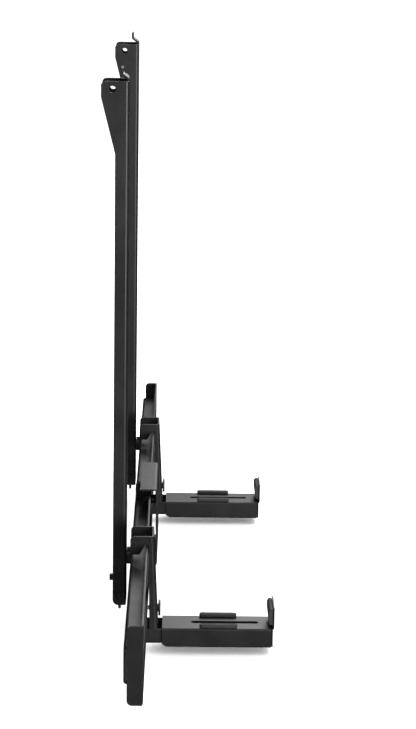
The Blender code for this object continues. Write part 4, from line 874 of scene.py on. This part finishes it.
def makePlug(v):
    # a block that goes inside, and a flange in front of it
    plug = prism("plug", block(v["blockLow"], v["blockHigh"], v["blockCorner"]), "x", *v["blockPlace"])
    flange = block(v["flangeLow"], v["flangeHigh"], v["flangeCorner"])
    combine(plug, "UNION", prism("flange", flange, "x", *v["flangePlace"]))
    return soften(plug, v["edge"])


placePair(makeHanger(hangerValues), "hanger", "hanger")
makeClamp(clampValues)
placePair(makePlug(glideValues), "arm_glide", "hanger")
print("hangers done")


# shelf

shelfValues = {
    "back": 0.0390, "front": 0.1515, "width": 0.0365, "height": 0.0206, "wall": 0.0016, "corner": 0.0020,
    "innerCorner": 0.0006, "reliefLength": 0.0050, "reliefHeight": 0.0035, "slot": (0.069, 0.1385),
    "slotWidth": 0.006,
    "lipFront": 0.1547, "lipTop": 0.0223, "lipWidth": 0.0345, "lipRoot": 0.0319, "lipGap": 0.0003,
    "lipBend": 0.0012,
    "lockPlace": (0.048, -0.0099), "lockHole": 0.0028, "edge": 0.00025,
}


def makeShelf(v):
    half, wall = v["width"] / 2, v["wall"]
    outer = block((-half, -v["height"]), (half, 0), v["corner"], 8)
    shelf = prism("shelf", outer, "x", v["back"], v["front"])
    # the lip grows from the flat of the roof, and is wider once it is clear of the sleeve
    lipFace = [(v["front"] - overrun, -wall), (v["lipFront"], -wall), (v["lipFront"], v["lipTop"])]
    lip = prism("lip", folded(lipFace, wall, v["lipBend"], 10), "y", -v["lipWidth"] / 2, v["lipWidth"] / 2)
    for side in (-1, 1):
        start, end = sorted((side * v["lipRoot"] / 2, side * v["width"]))
        notch = block((v["front"] - 0.003, -2 * wall), (v["front"] + v["lipGap"], wall), 0)
        combine(lip, "DIFFERENCE", prism("notch", notch, "y", start, end))
    combine(shelf, "UNION", lip)
    bore = block((wall - half, wall - v["height"]), (half - wall, -wall), v["innerCorner"])
    slot = stadium((sum(v["slot"]) / 2, 0), v["slot"][1] - v["slot"][0], v["slotWidth"])
    relief = np.array([(v["back"] - overrun, -v["height"] - overrun),
                       (v["back"] + v["reliefLength"], -v["height"] - overrun),
                       (v["back"] + v["reliefLength"], -v["height"]),
                       (v["back"], v["reliefHeight"] - v["height"]),
                       (v["back"] - overrun, v["reliefHeight"] - v["height"])])
    combine(shelf, "DIFFERENCE",
            prism("bore", bore, "x", v["back"] - overrun, v["front"] + 0.001),
            prism("slot", slot, "z", -wall - overrun, overrun),
            prism("lockHole", circle(v["lockPlace"], v["lockHole"]), "y", half - wall - 0.001, half + overrun),
            prism("relief", relief, "y", -beyond, beyond))
    return soften(shelf, v["edge"])


lipPadValues = {
    "back": 0.1528, "low": 0.0040, "high": 0.0208, "footThickness": 0.0032, "topThickness": 0.0050,
    "waist": 0.0096, "half": 0.01675, "edge": 0.0005,
}


def makeLipPad(v):
    # thin foot, a swollen middle and a nose drawn in towards the lip's top
    outline = rounded([(v["back"], v["low"], 0.0005), (v["back"], v["high"], 0.0004),
                       (v["back"] - v["topThickness"] * 0.62, v["high"], 0.0010),
                       (v["back"] - v["topThickness"], v["high"] - 0.0026, 0.0016),
                       (v["back"] - v["topThickness"], v["waist"] + 0.0020, 0.0016),
                       (v["back"] - v["footThickness"], v["low"], 0.0010)], 8)
    return soften(prism("lipPad", outline, "y", -v["half"], v["half"], v["edge"]), 0)


shelfPadValues = {
    "place": (0.0775, 0.1165), "width": 0.0064, "aside": 0.01475, "low": 0.0003, "high": 0.0038,
    "edge": 0.0009,
}


def makeShelfPad(v, way):
    middle = (sum(v["place"]) / 2, way * v["aside"])
    outline = stadium(middle, v["place"][1] - v["place"][0], v["width"], 14)
    return soften(prism("pad", outline, "z", v["low"], v["high"], v["edge"], 6), 0)


plugValues = {
    "blockLow": (-0.01635, -0.0187), "blockHigh": (0.01635, -0.0022), "blockCorner": 0.0008,
    "blockPlace": (0.1493, 0.1526), "flangeLow": (-0.01775, -0.0201), "flangeHigh": (0.01775, -0.0019),
    "flangeCorner": 0.0016, "flangePlace": (0.1518, 0.1533), "edge": 0.00025,
}

lockValues = {
    "screw": {"radius": 0.0025, "head": 0.0045, "pitch": 10.472, "depth": 0.00045, "style": "button",
              "socket": 0.0030, "socketDepth": 0.6, "plain": 0.0021},
    "nut": {"flats": 0.0080, "hole": 0.0028, "pitch": 10.472, "depth": 0.00025},
    "place": (0.048, -0.0099), "tip": 0.00875, "seat": 0.01855, "top": 0.02135,
    "nutPlace": (0.00995, 0.01395),
}


def makeLock(v):
    rows = screwRows(v["screw"], v["tip"], v["seat"], v["top"])
    screw = soften(turned("screw", rows, v["place"], "y", pitch=v["screw"]["pitch"]), 0)
    placePair(screw, "lock_screw", "hanger")
    placePair(makeNut(v["nut"], v["place"], "y", *v["nutPlace"]), "lock_nut", "hanger")


placePair(makeShelf(shelfValues), "shelf", "hanger")
placePair(makeLipPad(lipPadValues), "lip_pad", "hanger")
placePair(makeShelfPad(shelfPadValues, -1), "shelf_pad_1", "hanger")
placePair(makeShelfPad(shelfPadValues, 1), "shelf_pad_2", "hanger")
placePair(makePlug(plugValues), "shelf_plug", "hanger")
makeLock(lockValues)
print("shelves done")


# last steps

makeCamera(cameraSetup)
makeLights(lightSetup)
makeFloor(lightSetup)
